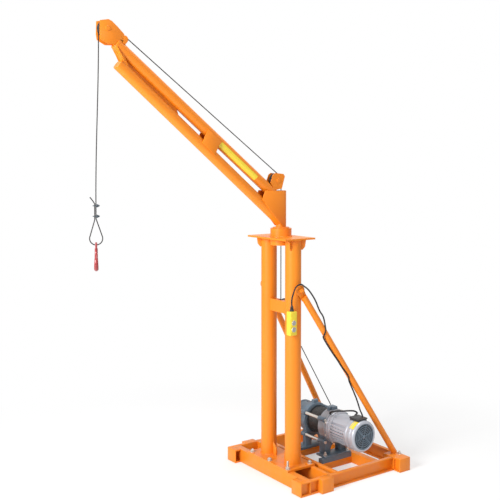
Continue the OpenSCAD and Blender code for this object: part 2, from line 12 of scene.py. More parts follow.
import bpy
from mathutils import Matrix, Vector


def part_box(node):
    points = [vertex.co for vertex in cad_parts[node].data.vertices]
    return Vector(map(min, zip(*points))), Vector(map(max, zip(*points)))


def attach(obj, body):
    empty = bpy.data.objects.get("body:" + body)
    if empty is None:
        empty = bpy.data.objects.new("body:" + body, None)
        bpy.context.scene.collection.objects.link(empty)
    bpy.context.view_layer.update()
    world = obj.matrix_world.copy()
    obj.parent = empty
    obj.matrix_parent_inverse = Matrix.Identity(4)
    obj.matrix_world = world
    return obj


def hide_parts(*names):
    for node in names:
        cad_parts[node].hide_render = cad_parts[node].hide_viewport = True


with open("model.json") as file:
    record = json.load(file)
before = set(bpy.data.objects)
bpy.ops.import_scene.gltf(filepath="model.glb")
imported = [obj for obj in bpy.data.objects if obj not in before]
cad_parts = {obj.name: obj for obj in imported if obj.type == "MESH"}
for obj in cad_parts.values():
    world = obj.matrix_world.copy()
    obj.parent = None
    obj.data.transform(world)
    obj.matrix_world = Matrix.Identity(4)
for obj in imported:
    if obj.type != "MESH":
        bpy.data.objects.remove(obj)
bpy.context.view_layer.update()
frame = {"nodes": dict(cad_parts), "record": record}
nodes = frame["nodes"]


# %% [markdown]
# ## Reading places from the model
# Each part's box says where it is. The centre of a sheave's box is its axis, and half of the
# box is its rim, so the ropes and bolts added later follow the model if it changes.

# %% Places and sizes
def centre(node):
    low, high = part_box(node)
    return (low + high) / 2


def extent(node):
    low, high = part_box(node)
    return high - low


head, foot, guide, drum = (
    centre(n) for n in ("head_sheave", "foot_sheave", "guide_sheave", "winch_drum"))
rope_d = 0.006
print("axes:", [tuple(round(v, 4) for v in p) for p in (head, foot, guide, drum)])

# %% [markdown]
# ## Camera
# The crane is tall and slim, so the camera stands well back with a longish lens, at about three
# quarters of the crane's height. It looks almost level, which keeps the columns upright, and a
# lens shift brings the base into the frame.

# %% Camera
camera_place = Vector((-2.979, -3.890, 1.872))
camera_azimuth, camera_tilt = 35.29, 2.0
bpy.ops.object.camera_add(
    location=camera_place,
    rotation=(math.radians(90 - camera_tilt), 0, -math.radians(camera_azimuth)))
camera = bpy.context.object
camera.data.lens = 59.32
camera.data.shift_y = -0.12
bpy.context.scene.camera = camera
print("camera", camera.data.lens, "mm")


# %% [markdown]
# ## Small helpers
# Operators work on what is selected. These helpers clear the selection, apply a piece's place
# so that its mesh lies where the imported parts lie, and do in edit mode what most pieces need.

# %% Helpers for objects
def deselect():
    if bpy.context.object and bpy.context.object.mode != "OBJECT":
        bpy.ops.object.mode_set(mode="OBJECT")
    bpy.ops.object.select_all(action="DESELECT")


def choose(*objects):
    deselect()
    for obj in objects:
        obj.select_set(True)
    bpy.context.view_layer.objects.active = objects[0]


def apply_place(obj):
    choose(obj)
    bpy.ops.object.transform_apply(location=True, rotation=True, scale=True)


def apply_modifiers(obj):
    choose(obj)
    for modifier in list(obj.modifiers):
        bpy.ops.object.modifier_apply(modifier=modifier.name)


def join(objects):
    choose(*objects)
    if len(objects) > 1:
        bpy.ops.object.join()
    return bpy.context.object


# %% Helpers for meshes
def edit_all():
    bpy.ops.object.mode_set(mode="EDIT")
    bpy.ops.mesh.select_all(action="SELECT")


def outward():
    """Closes the seams of the mesh in edit mode and turns its faces outwards."""
    bpy.ops.mesh.select_all(action="SELECT")
    bpy.ops.mesh.remove_doubles(threshold=0.00001)
    bpy.ops.mesh.normals_make_consistent(inside=False)
    bpy.ops.object.mode_set(mode="OBJECT")


# %% [markdown]
# ## Light and floor
# The crane stands in a white studio. One broad lamp to its left models the round columns, a
# weaker one in front opens the shadows, one above lights the plates, and the world fills the
# rest. The floor is pale and fades to white away from the crane, so only the soft shadow under
# the base shows.

# %% Helpers for shader nodes
WHITE = (1.0, 1.0, 1.0, 1.0)


def feed(tree, socket, value):
    """Joins an output to a socket, or types a plain value into it."""
    if isinstance(value, bpy.types.NodeSocket):
        tree.links.new(value, socket)
    else:
        socket.default_value = value


def add_node(tree, kind, plugs=(), **settings):
    """A shader node with its settings and with what feeds its inputs."""
    node = tree.nodes.new("ShaderNode" + kind)
    for key, value in settings.items():
        setattr(node, key, value)
    for socket, value in dict(plugs).items():
        feed(tree, node.inputs[socket], value)
    return node


def maths(tree, operation, *values):
    """The output of one sum on outputs or plain numbers."""
    plugs = dict(enumerate(values))
    return add_node(tree, "Math", plugs, operation=operation).outputs[0]


def spread(tree, value, low, high, to_low=0.0, to_high=1.0, **settings):
    """The value stretched from low..high to to_low..to_high, and held at both ends."""
    plugs = {"Value": value, "From Min": low, "From Max": high, "To Min": to_low,
             "To Max": to_high}
    return add_node(tree, "MapRange", plugs, **settings).outputs["Result"]


# %% World
world = bpy.data.worlds.new("studio")
bpy.context.scene.world = world
world.use_nodes = True
sky = world.node_tree
sky.nodes.clear()
ray = add_node(sky, "LightPath").outputs
any_view = maths(sky, "MAXIMUM", ray["Is Camera Ray"], ray["Is Transmission Ray"])
any_view = maths(sky, "MAXIMUM", any_view, ray["Is Glossy Ray"])
fill_light = add_node(sky, "Background", {"Color": WHITE, "Strength": 0.42}).outputs[0]
white_wall = add_node(sky, "Background", {"Color": WHITE, "Strength": 1.0}).outputs[0]
backdrop = add_node(sky, "MixShader", {0: any_view, 1: fill_light, 2: white_wall})
add_node(sky, "OutputWorld", {"Surface": backdrop.outputs[0]})
bpy.context.scene.view_settings.view_transform = "Standard"
print("world", world.name, "with", len(sky.nodes), "nodes")


# %% Lamps
def soft_lamp(name, place, target, size, power):
    bpy.ops.object.light_add(type="AREA", location=place)
    lamp = bpy.context.object
    lamp.name = name
    lamp.data.shape = "DISK"
    lamp.data.size = size
    lamp.data.energy = power
    lamp.rotation_euler = (Vector(target) - Vector(place)).to_track_quat("-Z", "Y").to_euler()
    print("lamp", name, power, "W")


soft_lamp("key_left", (-5.2, -0.9, 2.9), (0, 0, 1.2), 2.4, 330)
soft_lamp("fill_front", (-1.0, -6.0, 2.6), (0, 0, 1.1), 2.5, 30)
soft_lamp("top", (0.4, -0.4, 5.2), (0.1, 0, 0), 2.6, 110)

# %% Floor
bpy.ops.mesh.primitive_plane_add(size=60, location=(0, 0, -0.0005))
floor = bpy.context.object
floor.name = "floor"
floor_paint = bpy.data.materials.new("floor_white")
floor_paint.use_nodes = True
tree = floor_paint.node_tree
tree.nodes.clear()
place = add_node(tree, "TexCoord").outputs["Object"]
distance = add_node(tree, "VectorMath", {0: place}, operation="LENGTH").outputs["Value"]
far_off = spread(tree, distance, 0.7, 2.4, 0.35, interpolation_type="SMOOTHSTEP")
camera_ray = add_node(tree, "LightPath").outputs["Is Camera Ray"]
matt = add_node(tree, "BsdfDiffuse", {"Color": (0.93, 0.93, 0.93, 1)}).outputs[0]
glow = add_node(tree, "Emission", {"Strength": 1.0}).outputs[0]
share = maths(tree, "MULTIPLY", far_off, camera_ray)
blend_floor = add_node(tree, "MixShader", {0: share, 1: matt, 2: glow})
add_node(tree, "OutputMaterial", {"Surface": blend_floor.outputs[0]})
floor.data.materials.append(floor_paint)
print("floor", floor.dimensions.x, "m wide")

# %% [markdown]
# ## Shared effects
# Real paint is never one flat colour. Four small node groups carry the effects that several
# finishes share: the pebbled film of sprayed enamel, a slow drift in tone, paint rubbed thin
# along the edges, and fine dust that settles low down and on faces that look up.

# %% Helpers for effects
def new_group(name, inputs, outputs):
    """A node group, its given inputs and its results. Those called Colour are colours."""
    group = bpy.data.node_groups.new(name, "ShaderNodeTree")
    kind = {"Colour": "NodeSocketColor"}
    for label, value in inputs.items():
        socket = group.interface.new_socket(
            label, in_out="INPUT", socket_type=kind.get(label, "NodeSocketFloat"))
        socket.default_value = value
    for label in outputs:
        group.interface.new_socket(
            label, in_out="OUTPUT", socket_type=kind.get(label, "NodeSocketFloat"))
    return group, group.nodes.new("NodeGroupInput").outputs, group.nodes.new("NodeGroupOutput").inputs


def noise(tree, scale, detail):
    """Soft noise that stays fixed to the piece."""
    place = add_node(tree, "TexCoord").outputs["Object"]
    plugs = {"Vector": place, "Scale": scale, "Detail": detail}
    return add_node(tree, "TexNoise", plugs).outputs["Fac"]


# %% Pebbled film of sprayed paint or moulded plastic
film, given, result = new_group("sprayed_film", {"Scale": 350.0, "Coarse": 22.0}, ["Height"])
fine = noise(film, given["Scale"], 2.0)
coarse = noise(film, given["Coarse"], 1.0)
feed(film, result["Height"], maths(film, "MULTIPLY_ADD", coarse, 2.5, fine))

# %% Slow drift in tone and gloss
drift, given, result = new_group(
    "tone_drift",
    {"Colour": WHITE, "Scale": 4.0, "Amount": 0.1, "Gloss": 0.35, "Gloss Drift": 0.08},
    ["Colour", "Roughness"])
sway = maths(drift, "SUBTRACT", noise(drift, given["Scale"], 4.0), 0.5)
lift = maths(drift, "MULTIPLY_ADD", sway, given["Amount"], 1.0)
toned = add_node(drift, "VectorMath", {0: given["Colour"], "Scale": lift}, operation="SCALE")
gloss = maths(drift, "MULTIPLY_ADD", sway, given["Gloss Drift"], given["Gloss"])
feed(drift, result["Colour"], toned.outputs[0])
feed(drift, result["Roughness"], gloss)

# %% Paint rubbed thin on the edges, with a few chips
rub, given, result = new_group("rubbed_edges", {"Width": 0.0012, "Chips": 0.5}, ["Mask"])
rounded = add_node(rub, "Bevel", {"Radius": given["Width"]}, samples=4).outputs["Normal"]
true_face = add_node(rub, "NewGeometry").outputs["Normal"]
agree = add_node(rub, "VectorMath", {0: rounded, 1: true_face}, operation="DOT_PRODUCT")
edge = spread(rub, agree.outputs["Value"], 0.995, 0.86)
broken = spread(rub, noise(rub, 90.0, 5.0), given["Chips"], 0.75)
feed(rub, result["Mask"], maths(rub, "MULTIPLY", edge, broken))

# %% Fine dust, thicker near the ground and on faces that look up
dust, given, result = new_group("settled_dust", {"Top Of Dust": 0.3, "Amount": 0.3}, ["Mask"])
place = add_node(dust, "TexCoord").outputs["Object"]
height = add_node(dust, "SeparateXYZ", {0: place}).outputs["Z"]
facing = add_node(dust, "NewGeometry").outputs["Normal"]
upward = add_node(dust, "SeparateXYZ", {0: facing}).outputs["Z"]
mask = spread(dust, height, 0.0, given["Top Of Dust"], 1.0, 0.15)
patches = spread(dust, noise(dust, 28.0, 6.0), 0.38, 0.72)
for factor in (spread(dust, upward, 0.0, 1.0, 0.25), patches, given["Amount"]):
    mask = maths(dust, "MULTIPLY", mask, factor)
feed(dust, result["Mask"], mask)
print("effects:", [group.name for group in (film, drift, rub, dust)])

# %% [markdown]
# ## Finishes
# Every finish is one Principled shader fed by the groups. A finish names its own numbers, so
# the enamel on the steelwork, on the motor and on the hook are three settings of one recipe.

# %% One recipe for painted, moulded and metal surfaces
GLOSS_DRIFT, CHIPS, COAT_ROUGHNESS, PEEL_DEPTH = 0.10, 0.45, 0.12, 0.0006
DUST_COLOUR = (0.30, 0.24, 0.19, 1)


def blend_colour(tree, mask, amount, below, above):
    """Colour that goes from below to above where the mask is full."""
    share = maths(tree, "MULTIPLY", mask, amount)
    return add_node(tree, "Mix", {0: share, 6: below, 7: above}, data_type="RGBA").outputs[2]


def finish(name, colour, roughness, metallic=0.0, coat=0.0, specular=0.5, tone=0.10,
           tone_scale=5.0, peel=0.08, peel_scale=350.0, peel_coarse=22.0, rub_colour=None,
           rub_width=0.0012, rub_amount=0.5, dust_amount=0.25, dust_top=0.35):
    material = bpy.data.materials.new(name)
    material.use_nodes = True
    tree = material.node_tree
    tones = add_node(tree, "Group", node_tree=drift, plugs={
        "Colour": (*colour, 1), "Scale": tone_scale, "Amount": tone, "Gloss": roughness,
        "Gloss Drift": GLOSS_DRIFT}).outputs
    paint = tones["Colour"]
    if rub_colour:
        worn = add_node(tree, "Group", {"Width": rub_width, "Chips": CHIPS}, node_tree=rub)
        paint = blend_colour(tree, worn.outputs["Mask"], rub_amount, paint, (*rub_colour, 1))
    if dust_amount:
        fall = add_node(tree, "Group", {"Top Of Dust": dust_top, "Amount": dust_amount},
                        node_tree=dust)
        paint = blend_colour(tree, fall.outputs["Mask"], 1.0, paint, DUST_COLOUR)
    skin = add_node(tree, "Group", {"Scale": peel_scale, "Coarse": peel_coarse}, node_tree=film)
    bump = add_node(tree, "Bump", {"Strength": peel, "Distance": PEEL_DEPTH,
                                   "Height": skin.outputs["Height"]})
    shader = tree.nodes["Principled BSDF"]
    for socket, value in {
            "Metallic": metallic, "Coat Weight": coat, "Coat Roughness": COAT_ROUGHNESS,
            "Specular IOR Level": specular, "Base Color": paint,
            "Roughness": tones["Roughness"], "Normal": bump.outputs["Normal"]}.items():
        feed(tree, shader.inputs[socket], value)
    return material


# %% The crane's finishes, by the name of their slot in the record
finishes = {
    "orange_paint": finish(
        "orange_enamel", (0.80, 0.225, 0.008), 0.40, specular=0.35, coat=0.10,
        rub_colour=(0.95, 0.50, 0.16), rub_amount=0.55, dust_amount=0.30),
    "zinc_steel": finish(
        "bright_zinc", (0.66, 0.63, 0.58), 0.30, metallic=0.9, tone=0.25, tone_scale=60.0,
        peel=0.15, rub_colour=(0.85, 0.84, 0.82), dust_amount=0.12),
    "dark_iron": finish(
        "blue_black_enamel", (0.040, 0.054, 0.068), 0.45, tone=0.30, peel=0.30,
        rub_colour=(0.30, 0.29, 0.28), dust_amount=0.20, dust_top=1.0),
    "grey_iron": finish(
        "blue_grey_casting", (0.108, 0.158, 0.208), 0.42, coat=0.15, tone=0.25, tone_scale=12.0,
        peel=0.55, peel_scale=260.0, peel_coarse=60.0, rub_colour=(0.42, 0.44, 0.46),
        dust_top=0.6),
    "bell_grey": finish(
        "grey_casting", (0.30, 0.315, 0.345), 0.40, metallic=0.25, coat=0.10, tone=0.30,
        tone_scale=14.0, peel=0.50, peel_scale=260.0, peel_coarse=60.0,
        rub_colour=(0.60, 0.61, 0.63), dust_top=0.6),
    "motor_silver": finish(
        "silver_enamel", (0.42, 0.44, 0.49), 0.34, metallic=0.35, coat=0.15, tone=0.14,
        tone_scale=9.0, peel=0.20, rub_colour=(0.75, 0.76, 0.78), dust_top=0.6),
    # Near black, much darker than bare machined steel.
    "machined_steel": finish(
        "near_black_sheave", (0.045, 0.045, 0.048), 0.40, metallic=0.4, tone=0.30, peel=0.25,
        rub_colour=(0.35, 0.34, 0.33), dust_amount=0.15, dust_top=1.0),
    "wire_rope": finish(
        "greased_wire", (0.045, 0.043, 0.042), 0.45, metallic=0.6, tone=0.5, tone_scale=70.0,
        peel=0.25, peel_scale=900.0, rub_colour=(0.30, 0.29, 0.28), rub_width=0.0004,
        dust_amount=0.0),
    "black_plastic": finish(
        "black_mould", (0.018, 0.018, 0.02), 0.42, tone=0.2, peel=0.25, peel_scale=900.0,
        dust_amount=0.15, dust_top=1.2),
    "cable_rubber": finish(
        "black_rubber", (0.006, 0.006, 0.007), 0.70, tone=0.2, peel=0.20, peel_scale=700.0,
        dust_amount=0.10, dust_top=1.2),
    "yellow_plastic": finish(
        "yellow_mould", (0.80, 0.61, 0.040), 0.38, tone=0.06, peel=0.16, peel_scale=1100.0,
        rub_colour=(0.95, 0.85, 0.35), rub_amount=0.4, dust_amount=0.05, dust_top=1.5),
    "button_grey": finish(
        "grey_cap", (0.36, 0.35, 0.34), 0.45, tone=0.12, tone_scale=50.0, peel=0.12,
        dust_amount=0.0),
    "hook_red": finish(
        "red_enamel", (0.30, 0.024, 0.026), 0.34, coat=0.3, tone=0.18, tone_scale=16.0,
        rub_colour=(0.55, 0.30, 0.28), rub_amount=0.8, dust_amount=0.06, dust_top=2.0),
}
slot_of = {part["node"]: part["material_slot"] for part in frame["record"]["subparts"]}
for name, part in nodes.items():
    part.data.materials.clear()
    part.data.materials.append(finishes[slot_of[name]])
print(len(finishes), "finishes on", len(nodes), "packed parts")


# %% Mounting a finished piece
def mount(parts, name, slot, replaced=(), body="mast", angle=30, look=None):
    """Joins parts to one finished piece on a body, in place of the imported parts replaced."""
    piece = join(parts)
    apply_modifiers(piece)
    apply_place(piece)
    bpy.ops.object.shade_smooth_by_angle(angle=math.radians(angle))
    piece.name = piece.data.name = name
    piece.data.materials.clear()
    piece.data.materials.append(finishes[look or slot])
    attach(piece, body)
    for node in replaced:
        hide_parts(node)
    print(name, len(piece.data.polygons), "faces on", body)
    return piece

# %% [markdown]
# ## Pendant cable
# The pendant hangs on its own cable, a rubber lead 9 mm thick. It leaves the gland straight up,
# bends over the bolt at the head of the brace, slips round the tube, and drops to the terminal
# box on the motor. A cable like this could be simulated, but it only rests on one bolt and one
# tube, so its route is listed point by point, the way an electrician would drape it.
# Its length is the length of that route.

# %% The cable's bends, in millimetres from the brace bolt
brace_bolt = Vector((0.008, -0.174, 1.122))
gland_top = centre("pendant_gland") + Vector((0, 0, extent("pendant_gland").z / 2))
box_top = 0.345
cable_in = Vector((0.387, -0.298, box_top))
cable_bends = [
    (-42, -10, 20), (-10, -16, 38), (15, -16, 26), (45, -18, 4), (75, -21, -33),
    (96, -26, -69), (119, -33, -125), (144, -38, -165), (152, -47, -221), (150, -52, -244),
    (142, -48, -269), (141, -42, -284), (162, -41, -317), (199, -50, -375), (235, -62, -429),
    (263, -68, -472), (289, -77, -508), (307, -79, -536), (315, -76, -563), (348, -78, -629),
    (371, -84, -685),
]


def steps_from(start, steps):
    """Points given in millimetres from start."""
    return [start + Vector(step) / 1000 for step in steps]


cable_points = steps_from(gland_top, [(0, 0, 0), (1, 0, 38)])
cable_points += steps_from(brace_bolt, cable_bends)
cable_points += steps_from(cable_in, [(-4, 17, 38), (0, 3, 12), (0, 0, 0)])


# %% Helpers for bars, cables and paths
def smooth_path(points, steps=6):
    """Points along a curve that passes through the given ones, with soft bends."""
    ends = [points[0], *points, points[-1]]
    path = []
    for p0, p1, p2, p3 in zip(ends, ends[1:], ends[2:], ends[3:]):
        for i in range(steps):
            t = i / steps
            path.append(0.5 * (2 * p1 + (p2 - p0) * t + (2 * p0 - 5 * p1 + 4 * p2 - p3) * t**2
                               + (3 * p1 - p0 - 3 * p2 + p3) * t**3))
    return path + [points[-1]]


def path_length(points):
    return sum((b - a).length for a, b in zip(points, points[1:]))


def curve_through(name, points, radius=0.0, sides=4, radii=None):
    """A round bar, cable or bend path: one open spline through the points."""
    data = bpy.data.curves.new(name, "CURVE")
    data.dimensions = "3D"
    data.bevel_depth = radius
    data.bevel_resolution = sides
    data.use_fill_caps = radius > 0
    spline = data.splines.new("POLY")
    spline.points.add(len(points) - 1)
    for i, (knot, point) in enumerate(zip(spline.points, points)):
        knot.co = (*point, 1)
        knot.radius = radii[i] if radii else 1
    obj = bpy.data.objects.new(name, data)
    bpy.context.collection.objects.link(obj)
    return obj


def bar_through(name, points, radius, sides=4, radii=None):
    """The same bar as a mesh, ready to be joined to other pieces."""
    obj = curve_through(name, points, radius, sides, radii)
    choose(obj)
    bpy.ops.object.convert(target="MESH")
    return bpy.context.object


# %% Pendant cable
cable_d = 0.009
cable_path = smooth_path(cable_points)
cable = curve_through("pendant_lead", cable_path, cable_d / 2)
cable.data.materials.append(finishes["cable_rubber"])
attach(cable, "mast")
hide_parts("pendant_cable")

# %% [markdown]
# ## Motor lead
# A thick black lead joins the switch on the winch frame to the terminal box in one stiff loop
# above the motor. It is held at both ends, so it is a fixed piece of the winch, with its bends
# given one by one.

# %% Motor lead
box_low, box_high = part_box("terminal_box")
lead_r = 0.005
lead_out = Vector((drum.x - 0.050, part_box("motor_body")[1].y - 0.008, drum.z + 0.0824))
lead_in = Vector((box_low.x + 0.060, box_high.y, box_top - 0.010))
lead_points = steps_from(lead_out, [
    (0, 0, 0), (-6, -3, 11), (0, -26, 22), (14, -50, 29), (36, -78, 32), (62, -104, 36),
    (86, -121, 34)])
lead_points += steps_from(lead_in, [(27, 22, 11), (12, 21, 2), (0, 12, 0), (0, 4, 0), (0, 0, 0)])
lead = bar_through("motor_loop", smooth_path(lead_points), lead_r)
mount([lead], "motor_loop", "cable_rubber", ["motor_lead"], angle=60)

# %% [markdown]
# ## Wire rope
# Hoist rope is six strands laid round a core, and the twist catches the light even from afar.
# A texture could hint at it, but the real strands are cheap: six small circles are swept by a
# Screw modifier into a straight rope with a whole number of twists, and a Curve modifier then
# bends the rope along its path. One function makes every stretch.

# %% Helpers for round stretches
def swing(start, stop, steps):
    """Angles in even steps from start to stop."""
    return [start + (stop - start) * i / steps for i in range(steps + 1)]


def ring_of(count, offset=0.0):
    """Angles of count even places round a circle."""
    return [math.tau * (i + offset) / count for i in range(count)]


def polar(x, z, radius, a):
    """The place at angle a on a circle round x, z."""
    return x + radius * math.cos(a), z + radius * math.sin(a)


def on_circle(x, z, radius, angles):
    return [polar(x, z, radius, a) for a in angles]


# %% A stranded rope along a path
LAY, STRANDS, STRAND_SIDES, LAY_STEPS = 6.5 * rope_d, 6, 7, 9
TOUCH = 0.0004


def wire_rope(name, points, body, replaced):
    """A stranded rope bent through the points, in place of one packed rope."""
    length = path_length(points)
    turns = max(1, round(length / LAY))
    strand_r = rope_d / 6
    deselect()
    strands = []
    for turn in ring_of(STRANDS):
        bpy.ops.mesh.primitive_circle_add(
            vertices=STRAND_SIDES, radius=strand_r, rotation=(0, math.radians(90), 0),
            location=(0, *polar(0, 0, 2 * strand_r, turn)))
        strands.append(bpy.context.object)
    rope = join(strands)
    apply_place(rope)
    twist = rope.modifiers.new("lay", "SCREW")
    twist.axis = "X"
    twist.screw_offset = length / turns
    twist.iterations = turns
    twist.steps = twist.render_steps = LAY_STEPS
    twist.use_merge_vertices = False
    apply_modifiers(rope)
    edit_all()
    bpy.ops.mesh.remove_doubles(threshold=0.00001)
    bpy.ops.mesh.fill_holes(sides=STRAND_SIDES)
    outward()
    path = curve_through(name + "_path", points)
    rope.modifiers.new("path", "CURVE").object = path
    mount([rope], name, "wire_rope", [replaced], body, 60)
    bpy.data.objects.remove(path)
    print(name, round(length, 3), "m of rope in", turns, "lays")


def arc(middle, radius, start, stop, steps):
    """Points round an axis across the crane."""
    return [Vector((x, 0, z)) for x, z in
            on_circle(middle.x, middle.z, radius, swing(start, stop, steps))]


# %% Ropes over the sheaves
head_groove, guide_groove = 0.004, 0.006
head_r = extent("head_sheave").z / 2 - head_groove
guide_r = extent("guide_sheave").z / 2 - guide_groove
rise = math.radians(90) - math.atan2(head.z - foot.z, foot.x - head.x)
joint = Vector((0, 0, foot.z - rope_d))
boom_path = arc(head, head_r, math.pi, rise, 24) + arc(foot, head_r, rise, 0, 12) + [joint]
wire_rope("rope_on_boom", boom_path, "boom", "hoist_rope_boom")

taken_r = extent("drum_rope").z / 2 + rope_d / 2 + TOUCH
down = Vector((drum.x - guide.x, 0, drum.z - guide.z))
leave = math.atan2(down.z, down.x) - math.acos((taken_r + guide_r) / down.length)
mast_path = [joint - Vector((0, 0, TOUCH))]
mast_path += arc(guide, guide_r, math.pi, math.tau + leave, 12)
mast_path.append(Vector((drum.x - taken_r * math.cos(leave), 0,
                         drum.z - taken_r * math.sin(leave))))
wire_rope("rope_on_mast", mast_path, "mast", "hoist_rope_mast")

# %% The fall, from the head sheave down to the eye
fall_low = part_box("rope_fall")[0]
hook_x, fall_x = fall_low.x + rope_d / 2, head.x - head_r
FALL_STEPS = 30
fall_path = [
    Vector((fall_x + (hook_x - fall_x) * (1 - math.cos(math.pi * i / FALL_STEPS)) / 2, 0,
            head.z + (fall_low.z - head.z) * i / FALL_STEPS))
    for i in range(FALL_STEPS + 1)]
wire_rope("rope_on_fall", fall_path, "boom", "rope_fall")

# %% The eye at its end
hook_yaw = math.radians(-25)
eye_r, CLIP_HALF = 0.033, 0.008
eye_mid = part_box("rope_eye")[0].z + rope_d / 2 + eye_r
clip_low, clip_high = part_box("rope_clips")
clip_heights = (clip_low.z + CLIP_HALF, clip_high.z - CLIP_HALF)
fork = clip_heights[0] - 0.020
lean = math.asin(eye_r / (fork - eye_mid))
tail = -rope_d - TOUCH


def on_hook(x, z, y=0.0):
    """Place in the plane of the rope eye, turned with the hook."""
    across = Vector((math.cos(hook_yaw), math.sin(hook_yaw), 0))
    through = Vector((-math.sin(hook_yaw), math.cos(hook_yaw), 0))
    return Vector((hook_x, 0, z)) + x * across + y * through


eye_path = [on_hook(0, fall_low.z), on_hook(0, fork + 0.008)]
eye_path += [on_hook(x, z) for x, z in
             on_circle(0, eye_mid, eye_r, swing(lean, -math.pi - lean, 28))]
eye_path.append(on_hook(tail, fork + 0.002))
eye_path += [on_hook(tail - out, clip_heights[1] + up) for out, up in
             ((0, 0.010), (0.010, 0.026), (0.024, 0.044))]
wire_rope("rope_loop", eye_path, "boom", "rope_eye")

# %% [markdown]
# ## Hook
# The hook is a small drop forging: a round eye, a shank, and a bowl that is thickest at its
# lowest point and tapers to the tip, with a spring latch across the throat. Extruding an
# outline would leave it flat as a cut plate. A round bar whose thickness changes along the
# bend gives the forged swell, and a torus gives the eye.

# %% Forged hook
hook_low, hook_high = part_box("hook")
bowl_z, bowl_r = hook_low.z + 0.046, 0.034
ring_z = hook_high.z - 0.020
BAR_R, STATIONS, STEPS = 0.0100, 26, 3


def in_hook(side, z, y=0.0):
    """Place in the plane of the hook, which is square to the rope eye."""
    return on_hook(y, z, side)


knots = [in_hook(0, ring_z - 0.012), in_hook(0, ring_z - 0.028), in_hook(-0.003, bowl_z + 0.044)]
swell = [0.75, 0.78, 0.82]
bowl = on_circle(0.003, bowl_z, bowl_r, swing(math.radians(118), math.radians(380), STATIONS))
for i, (side, z) in enumerate(bowl):
    t = i / STATIONS
    knots.append(in_hook(side, z))
    swell.append(0.85 + 0.32 * math.sin(math.pi * t) ** 1.5 - 0.36 * t**4)
knots.append(in_hook(0.043, bowl_z + 0.022))
swell.append(0.40)
fine = smooth_path(knots, STEPS)
radii = []
for i in range(len(fine)):
    knot = min(i // STEPS, len(swell) - 2)
    radii.append(swell[knot] + (swell[knot + 1] - swell[knot]) * (i / STEPS - knot))
hook_bar = bar_through("hook_bar", fine, BAR_R, 6, radii)
deselect()
bpy.ops.mesh.primitive_torus_add(
    major_radius=0.0150, minor_radius=0.0052, major_segments=40, minor_segments=16,
    location=in_hook(0, ring_z), rotation=(math.radians(90), 0, hook_yaw + math.radians(90)))
mount([hook_bar, bpy.context.object], "forged_hook", "hook_red", ["hook"], "boom", 50)

# %% Spring latch across the throat
latch_points = [in_hook(-0.010, bowl_z + 0.046), in_hook(0.006, bowl_z + 0.040),
                in_hook(0.030, bowl_z + 0.026)]
latch = bar_through("latch", smooth_path(latch_points), 0.0032)
pin = bar_through("pin", [in_hook(-0.006, bowl_z + 0.045, y) for y in (-0.010, 0.010)], 0.0026)
mount([latch, pin], "hook_latch", "zinc_steel", body="boom", angle=50)


# %% [markdown]
# ## Rope clips
# A rope clip is a saddle and a U-bolt with two nuts. One clip is modelled from a block, round
# bars and nuts, and is copied to the second place on the rope, with its own mesh.

# %% Helpers for nuts and blocks
def round_edges(obj, offset, segments):
    choose(obj)
    edit_all()
    bpy.ops.mesh.bevel(offset=offset, segments=segments, affect="EDGES", profile=0.5)
    bpy.ops.object.mode_set(mode="OBJECT")


def hex_nut(place, direction, width, height):
    """A chamfered hexagon nut or bolt head, standing on place along direction."""
    deselect()
    turn = Vector(direction).to_track_quat("Z", "Y").to_euler()
    bpy.ops.mesh.primitive_cylinder_add(
        vertices=6, radius=width / math.sqrt(3), depth=height, rotation=turn,
        location=Vector(place) + Vector(direction).normalized() * height / 2)
    nut = bpy.context.object
    round_edges(nut, height * 0.12, 2)
    return nut


def plain_box(size, place, turn=(0, 0, 0)):
    deselect()
    bpy.ops.mesh.primitive_cube_add(size=1, location=place, rotation=turn)
    box = bpy.context.object
    box.scale = size
    apply_place(box)
    return box


def rounded_box(size, place, bevel, turn=(0, 0, 0), segments=3):
    """A block with rolled edges."""
    box = plain_box(size, place, turn)
    round_edges(box, bevel, segments)
    return box


# %% Two rope clips
CLIP_BAR, CLIP_LEGS, SADDLE = 0.0024, 0.0066, (0.011, 0.024, 0.015)


def rope_clip(name, z):
    """Saddle beside the fall, U-bolt round both strands, nuts on the saddle."""
    back = tail - 0.002
    parts = [rounded_box(SADDLE, on_hook(tail + 0.0125, z), 0.0025, (0, 0, hook_yaw))]
    for side in (-CLIP_LEGS, CLIP_LEGS):
        leg = [on_hook(tail + 0.0255, z, side), on_hook(back, z, side)]
        parts.append(bar_through("leg", leg, CLIP_BAR, 3))
        parts.append(hex_nut(on_hook(tail + 0.018, z, side), on_hook(1, 0) - on_hook(0, 0),
                             0.0085, 0.005))
    bow = [on_hook(back - CLIP_LEGS * math.sin(a), z, CLIP_LEGS * math.cos(a))
           for a in swing(0, math.pi, 14)]
    parts.append(bar_through("bow", bow, CLIP_BAR, 3))
    return mount(parts, name, "dark_iron", body="boom", angle=40)


lower_clip = rope_clip("rope_clip_lower", clip_heights[0])
choose(lower_clip)
bpy.ops.object.duplicate()
upper_clip = bpy.context.object
upper_clip.location.z = clip_heights[1] - clip_heights[0]
upper_clip.name = "rope_clip_upper"
apply_place(upper_clip)
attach(upper_clip, "boom")
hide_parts("rope_clips")
print("two rope clips", clip_heights)

# %% [markdown]
# ## Pendant
# The pendant is two moulded shells closed round a pair of push buttons. The shells meet in a
# fine groove, the buttons sit in raised rings, and the top necks into a ribbed gland.

# %% Pendant shell
low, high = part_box("pendant_body")
middle, size = (low + high) / 2, high - low
buttons = {"down": centre("pendant_button_down"), "up": centre("pendant_button_up")}
button_r = extent("pendant_button_up").x / 2
GROOVE, GROOVE_DEEP = 0.0012, 0.0015


def button_bar(place, radius, depth):
    """A round bar on a button's axis, through the pendant's face."""
    deselect()
    bpy.ops.mesh.primitive_cylinder_add(
        vertices=48, radius=radius, depth=depth, location=(place.x, low.y, place.z),
        rotation=(math.radians(90), 0, 0))
    return bpy.context.object


